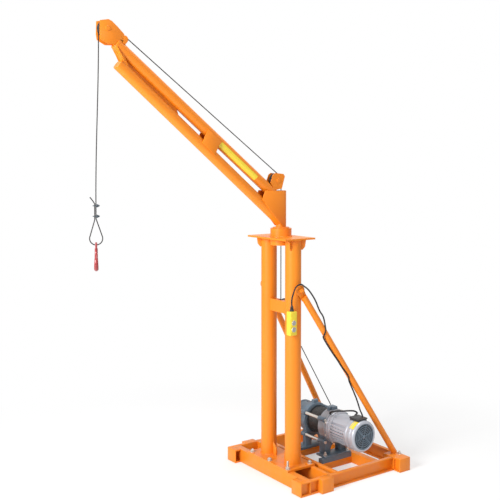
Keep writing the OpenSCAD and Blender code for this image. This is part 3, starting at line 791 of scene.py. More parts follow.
def cut_away(target, tool):
    """Carves target by tool and deletes the tool."""
    cut = target.modifiers.new("cut", "BOOLEAN")
    cut.operation = "DIFFERENCE"
    cut.solver = "EXACT"
    cut.object = tool
    apply_modifiers(target)
    bpy.data.objects.remove(tool)


def cut_button_holes(target):
    for place in buttons.values():
        cut_away(target, button_bar(place, button_r + 0.001, 0.024))


shell = rounded_box(size, middle, 0.007, segments=4)
seam = middle + Vector((0, 0.004, 0))
groove = plain_box((size.x + 0.01, GROOVE, size.z + 0.01), seam)
cut_away(groove, plain_box((size.x - 2 * GROOVE_DEEP, 0.004, size.z - 2 * GROOVE_DEEP), seam))
cut_away(shell, groove)
cut_button_holes(shell)
mount([shell], "pendant_shell", "yellow_plastic", ["pendant_body"])
plate = rounded_box((0.036, 0.0024, 0.096), (middle.x, low.y + 0.0002, middle.z - 0.010), 0.0009)
cut_button_holes(plate)
mount([plate], "pendant_plate", "yellow_plastic")


# %% Rings and dished caps
def dish_face(obj, direction, rim, depth):
    """Sinks the outermost flat face that looks along direction, leaving a rim."""
    choose(obj)
    bpy.ops.object.mode_set(mode="EDIT")
    bpy.ops.mesh.select_all(action="DESELECT")
    bpy.ops.mesh.select_mode(type="FACE")
    bpy.ops.object.mode_set(mode="OBJECT")
    looking = [f for f in obj.data.polygons if f.normal.dot(direction) > 0.999]
    far = max(f.center.dot(direction) for f in looking)
    for f in looking:
        f.select = f.center.dot(direction) > far - 0.0001
    bpy.ops.object.mode_set(mode="EDIT")
    bpy.ops.mesh.inset(thickness=rim)
    bpy.ops.transform.translate(value=-depth * direction)
    bpy.ops.object.mode_set(mode="OBJECT")


for label, place in buttons.items():
    deselect()
    bpy.ops.mesh.primitive_torus_add(
        major_radius=button_r + 0.0018, minor_radius=0.0016, major_segments=48,
        minor_segments=10, location=(place.x, low.y - 0.0012, place.z),
        rotation=(math.radians(90), 0, 0))
    mount([bpy.context.object], "ring_" + label, "zinc_steel", angle=60)
    cap = button_bar(place, button_r, 0.010)
    apply_place(cap)
    round_edges(cap, 0.0012, 3)
    dish_face(cap, Vector((0, -1, 0)), 0.0035, 0.0012)
    mount([cap], "cap_" + label, "button_grey", ["pendant_button_" + label], "button_" + label, 40)


# %% Ribbed gland
def new_shape(name, points, edges=(), faces=()):
    """An object from points and edges or faces, ready in edit mode."""
    mesh = bpy.data.meshes.new(name)
    mesh.from_pydata(points, edges, faces)
    piece = bpy.data.objects.new(name, mesh)
    bpy.context.collection.objects.link(piece)
    choose(piece)
    edit_all()
    return piece


def turned(x, y, z, profile, axis="Z", steps=48, sweep=math.tau, start=0.0):
    """A piece turned on a lathe: (radius, height) pairs swung round an axis through x, y, z."""
    edges = [(i, i + 1) for i in range(len(profile) - 1)]
    piece = new_shape("turned", [(r, 0, h) for r, h in profile], edges)
    bpy.ops.mesh.spin(steps=steps, angle=sweep, center=(0, 0, 0), axis=(0, 0, 1))
    if sweep < math.tau:
        bpy.ops.mesh.select_all(action="SELECT")
        bpy.ops.mesh.fill_holes(sides=len(profile))
    outward()
    piece.rotation_euler = (0, 0, start)
    apply_place(piece)
    if axis == "Y":
        piece.rotation_euler = (math.radians(-90), 0, 0)
    piece.location = (x, y, z)
    apply_place(piece)
    return piece


gland = turned(gland_top.x, gland_top.y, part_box("pendant_gland")[0].z, [
    (0, 0), (0.0125, 0), (0.0130, 0.0015), (0.0130, 0.0075), (0.0118, 0.0090),
    (0.0105, 0.0095), (0.0105, 0.0120), (0.0112, 0.0130), (0.0095, 0.0140),
    (0.0095, 0.0165), (0.0103, 0.0175), (0.0087, 0.0185), (0.0087, 0.0210),
    (0.0095, 0.0220), (0.0079, 0.0230), (0.0079, 0.0255), (0.0086, 0.0265),
    (0.0070, 0.0275), (0.0065, 0.0325), (0.0056, 0.0340), (0, 0.0340)])
mount([gland], "pendant_collar", "black_plastic", ["pendant_gland"], angle=40)

# %% [markdown]
# ## Drawn-out sections
# Plates, castings and rolled steel all start as an outline that is drawn out along a line, so
# one function makes them. It takes the sharp edges off as rolling, casting and paint do.

# %% Drawing out a section
WEB, FLANGE, BASE_H = 0.0055, 0.0080, 0.080


def drawn_out(outline, axis, start, stop, edge=0.0012):
    """An outline drawn out along an axis. X takes (y, z), Y takes (x, z), Z takes (x, y)."""
    at = "XYZ".index(axis)
    points = [(*pair[:at], start, *pair[at:]) for pair in outline]
    piece = new_shape("section", points, faces=[tuple(range(len(points)))])
    way = [0, 0, 0]
    way[at] = stop - start
    bpy.ops.mesh.extrude_region_move(TRANSFORM_OT_translate={"value": way})
    outward()
    if edge:
        soften = piece.modifiers.new("edge", "BEVEL")
        soften.width = edge
        soften.segments = 2
        soften.limit_method = "ANGLE"
        soften.angle_limit = math.radians(40)
        apply_modifiers(piece)
    return piece


def block(x0, x1, y0, y1, z0=0.0, z1=BASE_H, edge=0.0012):
    return drawn_out([(x0, y0), (x1, y0), (x1, y1), (x0, y1)], "Z", z0, z1, edge)


# %% [markdown]
# ## The fan hood
# The hood behind an electric motor is spun from sheet: a straight skirt, a rolled front edge
# and a face with ring-shaped slots that lets the fan draw air. Modelling it as one solid would
# hide the dark gaps, so the skirt and the grille are two pieces, and a black disc behind the
# grille is painted shade that stands for the dark inside of the hood. Each comes from a profile
# swung round the shaft, the way the sheet itself was spun.

# %% Skirt with its rolled edge
hood_low, hood_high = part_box("fan_cover")
shaft, hood_r, hood_len = centre("fan_cover"), extent("fan_cover").x / 2, extent("fan_cover").y
WALL, ROLL = 0.004, 0.014
face_r = hood_r - ROLL - 0.003


def swung(height, profile, steps=64):
    """A closed profile swung round the motor's shaft, heights counted from y = height."""
    return turned(shaft.x, height, shaft.z, profile + profile[:1], "Y", steps)


def by_shaft(*places):
    """Places in the plane of the winch's frames, counted from its shaft."""
    return [(shaft.x + x, shaft.z + z) for x, z in places]


rolled = [(hood_r - ROLL + ROLL * math.sin(a), ROLL - ROLL * math.cos(a))
          for a in swing(0, math.pi / 2, 7)]
ridges = [(hood_r, 0.034), (hood_r + 0.0012, 0.036), (hood_r + 0.0012, 0.039), (hood_r, 0.041),
          (hood_r, 0.066), (hood_r + 0.0014, 0.068), (hood_r + 0.0014, 0.072), (hood_r, 0.074)]
within = [(hood_r, hood_len), (hood_r - WALL, hood_len), (hood_r - WALL, ROLL), (face_r, 0.0075)]
lip = [(face_r, 0.0034), (face_r + 0.001, 0.0006)]
skirt = swung(hood_low.y, lip + rolled + ridges + within, 96)
mount([skirt], "fan_hood", "motor_silver", ["fan_cover"], angle=40)

# %% Grille of rings and spokes before a black disc of painted shade
ring_radii = (0.024, 0.036, 0.048, 0.060, 0.072)
grille_y = hood_low.y + 0.003
grille = [swung(grille_y, [(r - 0.0026, 0), (r - 0.0014, -0.0013), (r + 0.0014, -0.0013),
                           (r + 0.0026, 0), (r + 0.0026, 0.002), (r - 0.0026, 0.002)])
          for r in ring_radii]
grille.append(swung(grille_y, [(0, -0.002), (0.009, -0.002), (0.012, 0), (0.012, 0.002),
                               (0, 0.002)]))
spoke_mid, spoke_len = (0.010 + ring_radii[-1]) / 2, ring_radii[-1] - 0.008
for a in ring_of(6, 0.25):
    x, z = polar(shaft.x, shaft.z, spoke_mid, a)
    grille.append(rounded_box((spoke_len, 0.0025, 0.0055), (x, grille_y + 0.0012, z), 0.0008,
                              (0, -a, 0), 1))
mount(grille, "fan_grille", "grey_iron", angle=35)
# A black disc behind the grille: painted shade for the dark inside of the hood.
shade_disc = swung(hood_low.y + 0.0065, [
    (0, 0.004), (0.030, 0.003), (face_r + 0.004, 0), (face_r + 0.004, 0.006), (0, 0.010)])
mount([shade_disc], "fan_shade_disc", "black_plastic")

# %% [markdown]
# ## The winch's end frames
# Each end frame is one casting: a round plate that carries the drum's shaft, with two legs, an
# arch between them and an ear for every tie rod. Castings have soft corners, so their edges
# are rounded much more than those of the rolled steel.

# %% Frames and feet
near, far = (-0.088, -0.034), (0.096, 0.128)
rod_places = by_shaft((-0.088, 0.050), (0.088, 0.050), (-0.088, -0.086), (0.088, -0.086))
FOOT_X, FOOT_LOW, FOOT_TOP = (shaft.x - 0.112, shaft.x + 0.094), 0.066, 0.078
ROUND_R, LEG, ARCH_W, ARCH_H, EAR_R = 0.100, 0.086, 0.040, 0.058, 0.015
CAST_EDGE, foot_spans = 0.003, ((-0.124, near[1]), (far[0], 0.172))


def frame_casting(y0, y1):
    """Round plate with legs and an arch, from y0 to y1, its neck and the tie rods' ears."""
    open_a = math.asin(LEG / ROUND_R) - math.pi / 2
    outline = [(shaft.x + LEG, FOOT_TOP)]
    outline += on_circle(shaft.x, shaft.z, ROUND_R, swing(open_a, math.pi - open_a, 56))
    outline += [(shaft.x - LEG, FOOT_TOP), (shaft.x - ARCH_W, FOOT_TOP)]
    outline += [(shaft.x - ARCH_W * math.cos(a), FOOT_TOP + ARCH_H * (0.35 + 0.65 * math.sin(a)))
                for a in swing(0, math.pi, 14)]
    outline.append((shaft.x + ARCH_W, FOOT_TOP))
    neck = by_shaft((-0.021, 0.094), (0.021, 0.094), (0.019, 0.118), (-0.019, 0.118))
    parts = [drawn_out(outline, "Y", y0, y1, CAST_EDGE),
             drawn_out(neck, "Y", y0 + 0.004, y1 - 0.004, 0.004)]
    return parts + [drawn_out(on_circle(x, z, EAR_R, ring_of(24)), "Y", y0 - 0.001, y1 + 0.001,
                              0.002) for x, z in rod_places]


castings = frame_casting(*near) + frame_casting(*far)
for y0, y1 in foot_spans:
    castings.append(block(*FOOT_X, y0, y1, FOOT_LOW, FOOT_TOP, CAST_EDGE))
knob_at = (shaft.x - 0.030, -0.060, shaft.z + 0.088)
castings.append(turned(*knob_at, [
    (0, 0), (0.011, 0), (0.011, 0.016), (0.0125, 0.018), (0.0125, 0.026), (0.009, 0.030),
    (0, 0.031)], "Z", 24))
mount(castings, "end_frames", "grey_iron", ["winch_frames"], angle=32)

# %% Tie rods with their nuts
ROD_NUT = (0.017, 0.009)
tie_rods = []
for x, z in rod_places:
    tie_rods.append(turned(x, near[0] - 0.008, z, [
        (0, 0), (0.0052, 0), (0.006, 0.001), (0.006, 0.040), (0.0095, 0.044),
        (0.0095, 0.186), (0.006, 0.190), (0.006, 0.226), (0, 0.227)], "Y", 24))
    for y, way in ((near[0] - 0.001, -1), (far[1] + 0.001, 1)):
        tie_rods.append(hex_nut((x, y, z), (0, way, 0), *ROD_NUT))
mount(tie_rods, "tie_rods", "zinc_steel", ["winch_tie_rods"], angle=32)

# %% [markdown]
# ## The motor's case, bands and bell housing
# A motor of this kind is cast with fins along its barrel, to give off heat, and with a smooth
# pad on top for the terminal box. So the barrel is one outline, with a step out and in for
# each fin, drawn out along the shaft. In front of the fins come a turned band with raised
# lands and a bell bolted to the winch frame.

# %% Finned barrel
FINS, FIN_HALF, FIN_DEPTH = 30, 0.0042, 0.010
case_r, band_y = hood_r - 0.0035, near[0] - 0.048
pad_from, pad_to = math.radians(58), math.radians(150)
half = FIN_HALF / case_r
barrel = []
for a in ring_of(FINS):
    if pad_from < a < pad_to:
        barrel.append(polar(shaft.x, shaft.z, case_r - 0.002, a))
    else:
        for turn, sink in ((-1.3, FIN_DEPTH), (-1, 0), (1, 0), (1.3, FIN_DEPTH)):
            barrel.append(polar(shaft.x, shaft.z, case_r - sink, a + turn * half))
case = drawn_out(barrel, "Y", hood_high.y - 0.012, band_y + 0.004, 0)
mount([case], "motor_case", "motor_silver", ["motor_body"])

# %% Bands, bell and bolts
bands = swung(band_y, [
    (0.0780, 0.002), (0.0885, 0), (0.0905, 0.002), (0.0905, 0.009), (0.0930, 0.011),
    (0.0930, 0.016), (0.0905, 0.018), (0.0905, 0.022), (0.0950, 0.024), (0.0965, 0.027),
    (0.0965, 0.034), (0.0945, 0.040), (0.0780, 0.040)], 96)
mount([bands], "motor_bands", "motor_silver", angle=35)
bell_y, BOLT_RING = near[0] - 0.0092, 0.0972
bell = swung(bell_y, [
    (0.070, 0), (0.0985, 0), (0.1012, 0.0025), (0.1012, 0.0175), (0.1006, 0.0190),
    (0.1006, 0.0600), (0.0985, 0.0620), (0.070, 0.0620)], 96)
mount([bell], "bell_housing", "grey_iron", angle=35, look="bell_grey")
heads = [hex_nut((x, bell_y + 0.0002, z), (0, -1, 0), 0.013, 0.007)
         for x, z in on_circle(shaft.x, shaft.z, BOLT_RING, ring_of(8, 0.5))]
mount(heads, "bell_bolts", "zinc_steel")


# %% Plain rating patch on the hood
def film_of(radius, length, stand, sink, place=(0, 0, 0), **turning):
    """A thin stuck-on film, bent round a barrel or a tube."""
    inner, outer = radius - sink, radius + stand
    return turned(*place, [(inner, 0), (outer, 0), (outer, length), (inner, length), (inner, 0)],
                  **turning)


patch = film_of(hood_r, 0.034, 0.0010, 0.0006, (shaft.x, hood_low.y + 0.0145, shaft.z), axis="Y",
                steps=12, sweep=math.radians(34), start=math.radians(250))
mount([patch], "rating_patch", "yellow_plastic", angle=35)

# %% [markdown]
# ## The terminal box
# A low moulded box on the hood where the lead from the winch and the pendant cable are wired
# up. A lid that stands out all round is held by four screws.

# %% Box, lid and screws
box_low = Vector((box_low.x, box_low.y - 0.012, box_top - 0.030))
box_high.z = box_top
box_mid, box_size = (box_low + box_high) / 2, box_high - box_low
LID_T, SCREW_IN = 0.007, 0.009
tub = rounded_box((box_size.x - 0.006, box_size.y - 0.006, box_size.z - LID_T + 0.004),
                  (box_mid.x, box_mid.y, box_mid.z - LID_T / 2 - 0.002), 0.004)
lid = rounded_box((box_size.x, box_size.y, LID_T), (box_mid.x, box_mid.y, box_top - LID_T / 2),
                  0.0025)
parts = [tub, lid]
for sx in (-1, 1):
    for sy in (-1, 1):
        screw_x = box_mid.x + sx * (box_size.x / 2 - SCREW_IN)
        screw_y = box_mid.y + sy * (box_size.y / 2 - SCREW_IN)
        parts.append(turned(screw_x, screw_y, box_top - 0.002, [
            (0, 0.0008), (0.002, 0.0008), (0.0022, 0.0018), (0.0044, 0.0018), (0.0050, 0.0010),
            (0.0052, 0), (0, 0), (0, 0.0008)], "Z", 20))
mount(parts, "terminal_tub", "black_plastic", ["terminal_box"])

# %% [markdown]
# ## The rope on the drum
# Steel rope is laid on the drum turn against turn. A helix that is only two turns too short
# would already look wrong at the flanges, so the rope's diameter is its pitch and the drum's
# width gives the number of turns. It turns with the drum, which is why it rides on that body.

# %% Winding
wound_low, wound_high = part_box("drum_rope")
wound_len = wound_high.y - wound_low.y
lay_r = extent("drum_rope").x / 2 - rope_d / 2
turns = int(wound_len / rope_d)
PER_TURN = 40
coil = []
for i in range((turns - 1) * PER_TURN + 1):
    x, z = polar(drum.x, drum.z, lay_r, math.tau * i / PER_TURN)
    coil.append(Vector((x, wound_low.y + rope_d * (0.5 + i / PER_TURN), z)))
core = turned(drum.x, wound_low.y, drum.z, [
    (lay_r - 0.006, 0), (lay_r - 0.0008, 0), (lay_r - 0.0008, wound_len),
    (lay_r - 0.006, wound_len), (lay_r - 0.006, 0)], "Y", 64)
mount([bar_through("coil", coil, rope_d / 2, 3), core], "drum_winding", "wire_rope",
      ["drum_rope"], "drum", 50)
print(turns, "turns of rope")

# %% [markdown]
# ## The gearbox's cover
# The gears run in oil behind a round cover with a bolted rim, a boss over the output bearing
# and radiating ribs. These face the rear and far side, so they're kept simple: a turned cover,
# a ring of bolts, and eight ribs.

# %% Cover, ribs, plug and bolts
gear_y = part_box("gearbox")[1].y
GEAR_R, RIB_RING, BOLT_CIRCLE, BOLT_TURN = 0.084, 0.049, 0.080, 0.39
gear = [swung(gear_y - 0.004, [
    (0, 0.004), (0.020, 0.004), (0.023, 0.002), (0.030, -0.001), (0.034, -0.001),
    (0.070, -0.003), (0.074, 0.002), (GEAR_R + 0.002, 0.002), (GEAR_R + 0.004, 0),
    (GEAR_R + 0.004, -0.010), (GEAR_R - 0.002, -0.012), (0, -0.012)])]
for a in ring_of(8):
    rib_x, rib_z = polar(shaft.x, shaft.z, RIB_RING, a)
    x, z = polar(shaft.x, shaft.z, BOLT_CIRCLE, a + BOLT_TURN)
    gear.append(rounded_box((0.046, 0.008, 0.005), (rib_x, gear_y - 0.0050, rib_z), 0.0012,
                            (0, -a, 0), 2))
    gear.append(hex_nut((x, gear_y - 0.003, z), (0, 1, 0), 0.010, 0.0045))
gear.append(hex_nut((shaft.x, gear_y - 0.052, shaft.z + GEAR_R - 0.002), (0, 0, 1), 0.017, 0.011))
mount(gear, "gear_cover", "grey_iron", angle=35)


# %% [markdown]
# ## The welded base
# The base of such a crane is cut from rolled channel: a web with a flange at each edge, open
# to one side. A solid bar would lose the shadow line under every flange, which is most of what
# the eye reads as steelwork. So each member is the outline of its section, drawn once and
# drawn out along its length.

# %% Channel section
def channel(axis, web_at, open_to, start, stop, width, height=BASE_H):
    """A rolled channel on the ground, its web at web_at and its flanges towards open_to."""
    inner, lip = web_at + open_to * WEB, web_at + open_to * width
    outline = [(web_at, 0), (lip, 0), (lip, FLANGE), (inner, FLANGE), (inner, height - FLANGE),
               (lip, height - FLANGE), (lip, height), (web_at, height)]
    return drawn_out(outline, axis, start, stop)


def steelwork(parts, name, replaced=(), body="mast", angle=30):
    """Parts welded together and painted orange."""
    mount(parts, name, "orange_paint", replaced, body, angle)


# %% Side members, with front stub, filler plate and lift socket
base_low, base_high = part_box("side_beam_left")
front_x, rear_x0 = base_low.x, base_high.x
side_out, side_in, stub_in = 0.367, 0.342, 0.281
end_x, front_web, socket_x = front_x + 0.006, front_x + 0.041, (-0.008, 0.078)
socket_out, corner_out = side_out + 0.030, 0.421
filler_x = (front_web + 0.025, front_web + 0.033)
for s, label in ((1, "left"), (-1, "right")):
    member = [channel("X", s * side_in, s, end_x, rear_x0 + 0.002, side_out - side_in),
              block(front_x, end_x, s * stub_in, s * side_out)]
    for z in (0, BASE_H - FLANGE):
        member.append(block(end_x, front_web, s * stub_in, s * side_in, z, z + FLANGE))
    member.append(block(*filler_x, s * side_in, s * (side_out - 0.001), FLANGE, BASE_H - FLANGE))
    member.append(block(*socket_x, s * (side_in - TOUCH), s * socket_out, 0.0, BASE_H + TOUCH))
    steelwork(member, "side_member_" + label, ["side_beam_" + label])

# %% Cross members and winch rails
second_x, support_x = (0.074, 0.131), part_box("support_cross_beam")[0].x
rear_x, flange_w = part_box("rear_cross_beam")[1].x, side_out - side_in
for name, node, webs, open_to, half_len, width, height in (
        ("front_member", "front", [front_web], 1, side_in, 0.043, BASE_H),
        ("second_members", "second", second_x, 1, side_in, flange_w, BASE_H),
        ("support_member", "support", [support_x], 1, side_in, 0.041, FOOT_LOW),
        ("rear_member", "rear", [rear_x], -1, stub_in, flange_w, BASE_H)):
    steelwork([channel("Y", web, open_to, -half_len, half_len, width, height) for web in webs],
              name, [node + "_cross_beam"])
rail_s, rail_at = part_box("winch_rails")[1].z, (-0.106, 0.154)
rails = [drawn_out([(y - rail_s / 2, 0), (y + rail_s / 2, 0), (y + rail_s / 2, rail_s),
                    (y - rail_s / 2, rail_s)], "X", second_x[1] + flange_w, support_x)
         for y in rail_at]
steelwork(rails, "rail_pair", ["winch_rails"])

# %% Rear corner boxes, recessed where the side members end
recess_x, recess_y = (rear_x0 - 0.001, rear_x0 + 0.012), (side_out + 0.004, corner_out - 0.009)
corners = []
for s in (1, -1):
    corner = block(rear_x0, rear_x, s * stub_in, s * corner_out)
    cut_away(corner, block(*recess_x, s * recess_y[0], s * recess_y[1], FLANGE, BASE_H - FLANGE, 0))
    corners.append(corner)
steelwork(corners, "corner_boxes", ["rear_corner_boxes"])


# %% [markdown]
# ## Fasteners
# Studs with washers and nuts hold the mast to the base, and their bright zinc is the only
# thing on the orange steel that glints. Each stud is turned with shallow grooves that stand
# for its thread, because a real helix this fine would never be seen.

# %% Studs and bolts
PITCH = 0.002
WASHER_R, WASHER_T, NUT_W, NUT_H = 1.05, 0.18, 1.55, 0.80


def aim(obj, place, direction):
    """Stands a piece that was made on the Z axis on place, along direction."""
    obj.rotation_euler = Vector(direction).to_track_quat("Z", "Y").to_euler()
    obj.location = place
    apply_place(obj)
    return obj


def stud(place, direction, radius, length):
    """A grooved stud standing on place along direction."""
    profile = [(0, 0)]
    for i in range(int(length / PITCH)):
        profile += [(radius, PITCH * i), (radius, PITCH * (i + 0.4)),
                    (radius * 0.88, PITCH * (i + 0.7))]
    profile += [(radius * 0.8, length), (0, length)]
    return aim(turned(0, 0, 0, profile, "Z", 14), place, direction)


def washer(place, direction, radius, height):
    return aim(turned(0, 0, 0, [(0, 0), (radius, 0), (radius, height * 0.7),
                                (radius - 0.0008, height), (0, height)], "Z", 28),
               place, direction)


def bolted(place, direction, size, over):
    """Washer, nut and stud end: size is the thread's diameter, over its length past the seat."""
    on_washer = Vector(place) + Vector(direction).normalized() * size * WASHER_T
    return [washer(place, direction, size * WASHER_R, size * WASHER_T),
            hex_nut(on_washer, direction, size * NUT_W, size * NUT_H),
            stud(place, direction, size / 2, over)]


UP = (0, 0, 1)
plate_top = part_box("column_base_plate")[1].z
stud_x, stud_y, frame_bolt_x, corner_x, corner_y = 0.082, 0.175, (0.262, 0.438), 0.653, 0.346
BASE_THREAD, FOOT_THREAD, LONG, SHORT = 0.014, 0.012, 0.048, 0.018
bolts = []
for x in (-stud_x, stud_x):
    for y in (-stud_y, 0.0, stud_y):
        bolts += bolted((x, y, plate_top), UP, BASE_THREAD, LONG if x < 0 and y < 0 else SHORT)
mount(bolts, "base_studs", "zinc_steel", ["base_bolts"], angle=28)
feet = []
for x in frame_bolt_x:
    for y in rail_at:
        feet += bolted((x, y, FOOT_TOP), UP, FOOT_THREAD, 2 * FOOT_THREAD)
for y in (-corner_y, corner_y):
    feet += bolted((corner_x, y, BASE_H), UP, FOOT_THREAD, 0.020)
mount(feet, "foot_bolts", "zinc_steel", angle=28)

# %% [markdown]
# ## Rear braces
# Each brace is a tube flattened at its head, bolted to a round lug on the outside of a column.
# At the foot it is cut level and welded to the corner box. The flattened head is a plate with
# a round eye, and the tube slides into it as a forge would leave it.

# %% Braces, lugs and studs
brace_h, lug_x, brace_d = 1.122, 0.008, 0.038
column_y, column_r = 0.118, 0.0475
lug_y, LUG_T, LUG_R, LUG_EDGE = column_y + column_r - 0.0035, 0.008, 0.030, 0.0015
TUBE_FROM, EYE_TO, foot_x, foot_y = 0.046, 0.066, 0.645, 0.307
for s, label in ((1, "right"), (-1, "left")):
    top = Vector((lug_x, s * (lug_y + 1.5 * LUG_T), brace_h))
    foot_at = Vector((foot_x, s * foot_y, BASE_H))
    way = (foot_at - top).normalized()
    tilt = math.atan2(way.z, way.x)
    side = Vector((-math.sin(tilt), 0, math.cos(tilt))) * brace_d / 2
    end = top + Vector((math.cos(tilt), 0, math.sin(tilt))) * EYE_TO
    eye = on_circle(lug_x, brace_h, LUG_R,
                    swing(tilt + math.radians(52), tilt + math.radians(308), 30))
    eye += [(p.x, p.z) for p in (end - side, end + side)]
    tube_from = top + way * TUBE_FROM
    tube_path = [tube_from + (foot_at - tube_from) * t for t in (0, 0.5, 0.985)]
    tube_path.append(foot_at + Vector((0, 0, 0.001)))
    steelwork([drawn_out(eye, "Y", top.y - LUG_T / 2, top.y + LUG_T / 2, LUG_EDGE),
               bar_through("tube", tube_path, brace_d / 2, 10)],
              "brace_tube_" + label, ["brace_" + label])
lugs, nuts = [], []
for s in (1, -1):
    seat = lug_y if s > 0 else -lug_y - LUG_T
    lugs.append(drawn_out(on_circle(lug_x, brace_h, LUG_R, ring_of(40)), "Y", seat,
                          seat + LUG_T, LUG_EDGE))
    nuts += bolted((lug_x, s * (lug_y + 2 * LUG_T), brace_h), (0, s, 0), 0.016, 0.026)
steelwork(lugs, "brace_lugs", ["brace_brackets"])
steelwork(nuts, "brace_nuts", angle=28)

# %% [markdown]
# ## Ribs on the columns
# Flat triangular ribs stiffen both ends of each column: at the foot they face each other, and
# under the top plate they reach towards its corners and carry the overhang.

# %% Foot and head ribs
RIB_HALF, RIB_EDGE, BURIED, RIB_H, RIB_TOP_H = 0.004, 0.0008, 0.006, 0.072, 0.060
under_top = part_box("top_plate")[0].z
inner = column_y - column_r
skin, slim = inner + BURIED, inner - 0.030
plate_half, reach = extent("top_plate") / 2, column_r + 0.028
ribs = []
for s in (1, -1):
    ribs.append(drawn_out([
        (s * skin, plate_top), (s * slim, plate_top), (s * slim, plate_top + 0.043),
        (s * inner, plate_top + RIB_H), (s * skin, plate_top + RIB_H)],
        "X", -RIB_HALF, RIB_HALF, RIB_EDGE))
    for y in (-column_y, column_y):
        rib = drawn_out([
            (column_r - BURIED, under_top), (reach, under_top), (reach - 0.006, under_top - 0.042),
            (column_r + 0.008, under_top - RIB_TOP_H), (column_r - BURIED, under_top - RIB_TOP_H)],
            "Y", -RIB_HALF, RIB_HALF, RIB_EDGE)
        corner_y = math.copysign(plate_half.y, y)
        rib.location.y, rib.rotation_euler.z = y, math.atan2(corner_y - y, s * plate_half.x)
        ribs.append(rib)
steelwork(ribs, "column_ribs", ["column_gussets"])

# %% [markdown]
# ## The boom
# Two tubes make the boom, the upper one nearly parallel to the lower. Plates at the foot and
# at mid-length tie them on both sides. Near the tip a thin web fills the narrowing gap, and a
# strap closes it. Everything here is laid out along the two tubes' own axes, so a plate can't
# drift off the tube that it is welded to.

# %% Tubes
low_slope, up_slope = math.radians(39.2), math.radians(38.2)
low_foot, up_foot = 1.508, 1.632
low_len, up_len = 1.373, 1.371
TUBE_R, PLATE, THIN_EDGE = 0.031, 0.005, 0.0008


def along(slope, foot_z, t, out=0.0):
    """Place at t along a tube of the boom, and out from its axis on the upper side."""
    return Vector((-t * math.cos(slope) + out * math.sin(slope), 0,
                   foot_z + t * math.sin(slope) + out * math.cos(slope)))


def along_low(t, out=0.0):
    return along(low_slope, low_foot, t, out)


def along_up(t, out=0.0):
    return along(up_slope, up_foot, t, out)


def plate_of(points, y0, y1, edge=THIN_EDGE):
    """A plate in the boom's plane, from y0 to y1."""
    return drawn_out([(p.x, p.z) for p in points], "Y", y0, y1, edge)


def both_sides(points, y0, y1, edge=THIN_EDGE):
    return [plate_of(points, s * y0, s * y1, edge) for s in (1, -1)]


for place_on, length, label in ((along_low, low_len, "lower"), (along_up, up_len, "upper")):
    path = [place_on(t) for t in (0.020, 0.5 * length, length - 0.0015, length)]
    steelwork([bar_through("tube", path, TUBE_R, 14, [1, 1, 1, 0.955])],
              "boom_long_%s_tube" % label, ["boom_%s_tube" % label], "boom", 40)

# %% Foot and middle plates
tie = [along_up(0.570), along_up(0.677), along_low(0.737), along_low(0.631)]
post_top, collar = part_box("boom_post")[1].z - 0.002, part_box("slew_housing")[1].z + 0.014
foot_plate = [Vector((x, 0, z)) for x, z in (
    (-0.140, up_foot + 0.140 * math.tan(up_slope) - TUBE_R / math.cos(up_slope)),
    (-0.162, low_foot + 0.162 * math.tan(low_slope) + 0.010), (-0.020, collar), (0, collar),
    (0, post_top), (-0.040, post_top))]
sides = [plate_of(points, s * TUBE_R, s * (TUBE_R + PLATE))
         for s in (1, -1) for points in (foot_plate, tie)]
steelwork(sides, "boom_ties", ["boom_side_plates"], "boom")

# %% Head: cheeks, strap, thin web and rope guards
CHEEK_IN, SINK, GUARD_R = 0.020, 0.98 * TUBE_R, 0.020
cheek = [head + Vector((x, 0, z)) for x, z in (
    (-0.044, -0.030), (-0.042, 0.038), (0.005, 0.0475), (0.024, 0.040), (0.056, 0.014),
    (0.094, -0.022), (0.088, -0.064), (0.054, -0.078), (0.005, -0.080), (-0.039, -0.058))]
tip = both_sides(cheek, CHEEK_IN, CHEEK_IN + PLATE, 0.0012)
strap_up = along_up(up_len) + Vector((-0.004, 0, -0.018))
strap_low = along_low(low_len) + Vector((0.024, 0, 0.014))
thick = (strap_low - strap_up).cross(Vector((0, 1, 0))).normalized() * PLATE / 2
tip.append(plate_of([strap_up - thick, strap_low - thick, strap_low + thick, strap_up + thick],
                    -TUBE_R, TUBE_R))
tip.append(plate_of([along_up(0.885, -SINK), along_up(up_len - 0.012, -SINK),
                     along_low(low_len - 0.002, SINK), along_low(0.930, SINK)],
                    -PLATE / 2, PLATE / 2))
filler_out = 0.7 * TUBE_R
tip += both_sides([along_up(up_len - 0.066, -filler_out), along_up(up_len - 0.010, -filler_out),
                   along_low(low_len - 0.001, filler_out), along_low(low_len - 0.048, filler_out)],
                  0.019, 0.024, 0.0006)
guard = along_up(up_len - 0.020, 0.0435)
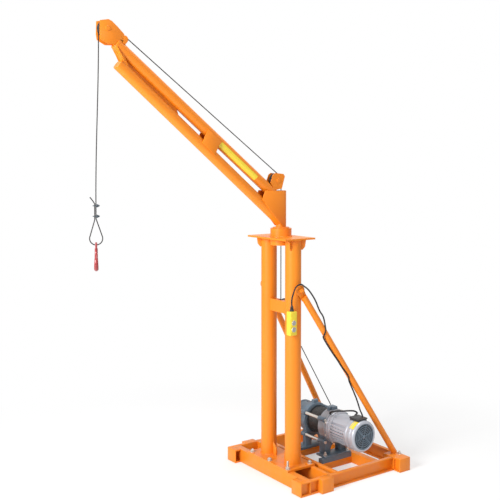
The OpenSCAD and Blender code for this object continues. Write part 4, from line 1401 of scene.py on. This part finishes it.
ear = [Vector((x, 0, z)) for x, z in
       on_circle(guard.x, guard.z, GUARD_R, swing(math.pi - up_slope, -up_slope, 16))]
root = along_up(0) - along_up(0, 0.020)
tip += both_sides(ear + [ear[-1] + root, ear[0] + root], 0.017, 0.025, 0.0010)
steelwork(tip, "boom_tip", ["head_frame"], "boom")

# %% Axle ends in the cheeks
axles = [turned(middle.x, -CHEEK_IN - PLATE - 0.004, middle.z, [
    (0, 0), (0.0118, 0), (0.0135, 0.0014), (0.0135, 0.0038), (0.0078, 0.0042), (0.0078, 0.0538),
    (0.0135, 0.0542), (0.0135, 0.0566), (0.0118, 0.058), (0, 0.058)], "Y", 28)
    for middle in (head, foot)]
steelwork(axles, "axle_ends", ["boom_sheave_pins"], "boom", 32)

# %% Plain yellow band on the upper tube
band_from, band_to = 0.245, 0.560
band = film_of(TUBE_R, band_to - band_from, 0.0007, 0.0006, steps=10, sweep=math.radians(64),
               start=math.radians(4))
aim(band, along_up(band_from), along_up(1) - along_up(0))
mount([band], "boom_band", "yellow_plastic", body="boom", angle=40)


# %% [markdown]
# ## Weld beads
# Where two plates meet, a welder leaves a bead of small overlapping ripples. At this size the
# ripples only break up the highlight, which is still what tells a weld from a filleted edge.
# A wavy ring round the foot and head of each column, and round the slew housing on both sides
# of the top plate, is enough to show it.

# %% Beads round the columns and the slew housing
BEAD_R, RIPPLES, LIFT = 0.0042, 90, 0.001


def weld(y, z, tube_r):
    """A rippled ring round an upright tube."""
    ring = [Vector((x, ring_y, z)) for x, ring_y in
            on_circle(0, y, tube_r + 0.0012, swing(0, math.tau, 2 * RIPPLES))]
    ripple = [1.0 if i % 2 else 0.82 for i in range(len(ring))]
    return bar_through("bead", ring, BEAD_R, 2, ripple)


beads = [weld(y, z, column_r) for y in (-column_y, column_y)
         for z in (plate_top + LIFT, under_top - LIFT)]
housing_r = extent("slew_housing").x / 2
for z in (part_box("top_plate")[1].z + LIFT, under_top - LIFT):
    beads.append(weld(0, z, housing_r))
steelwork(beads, "weld_beads", angle=60)
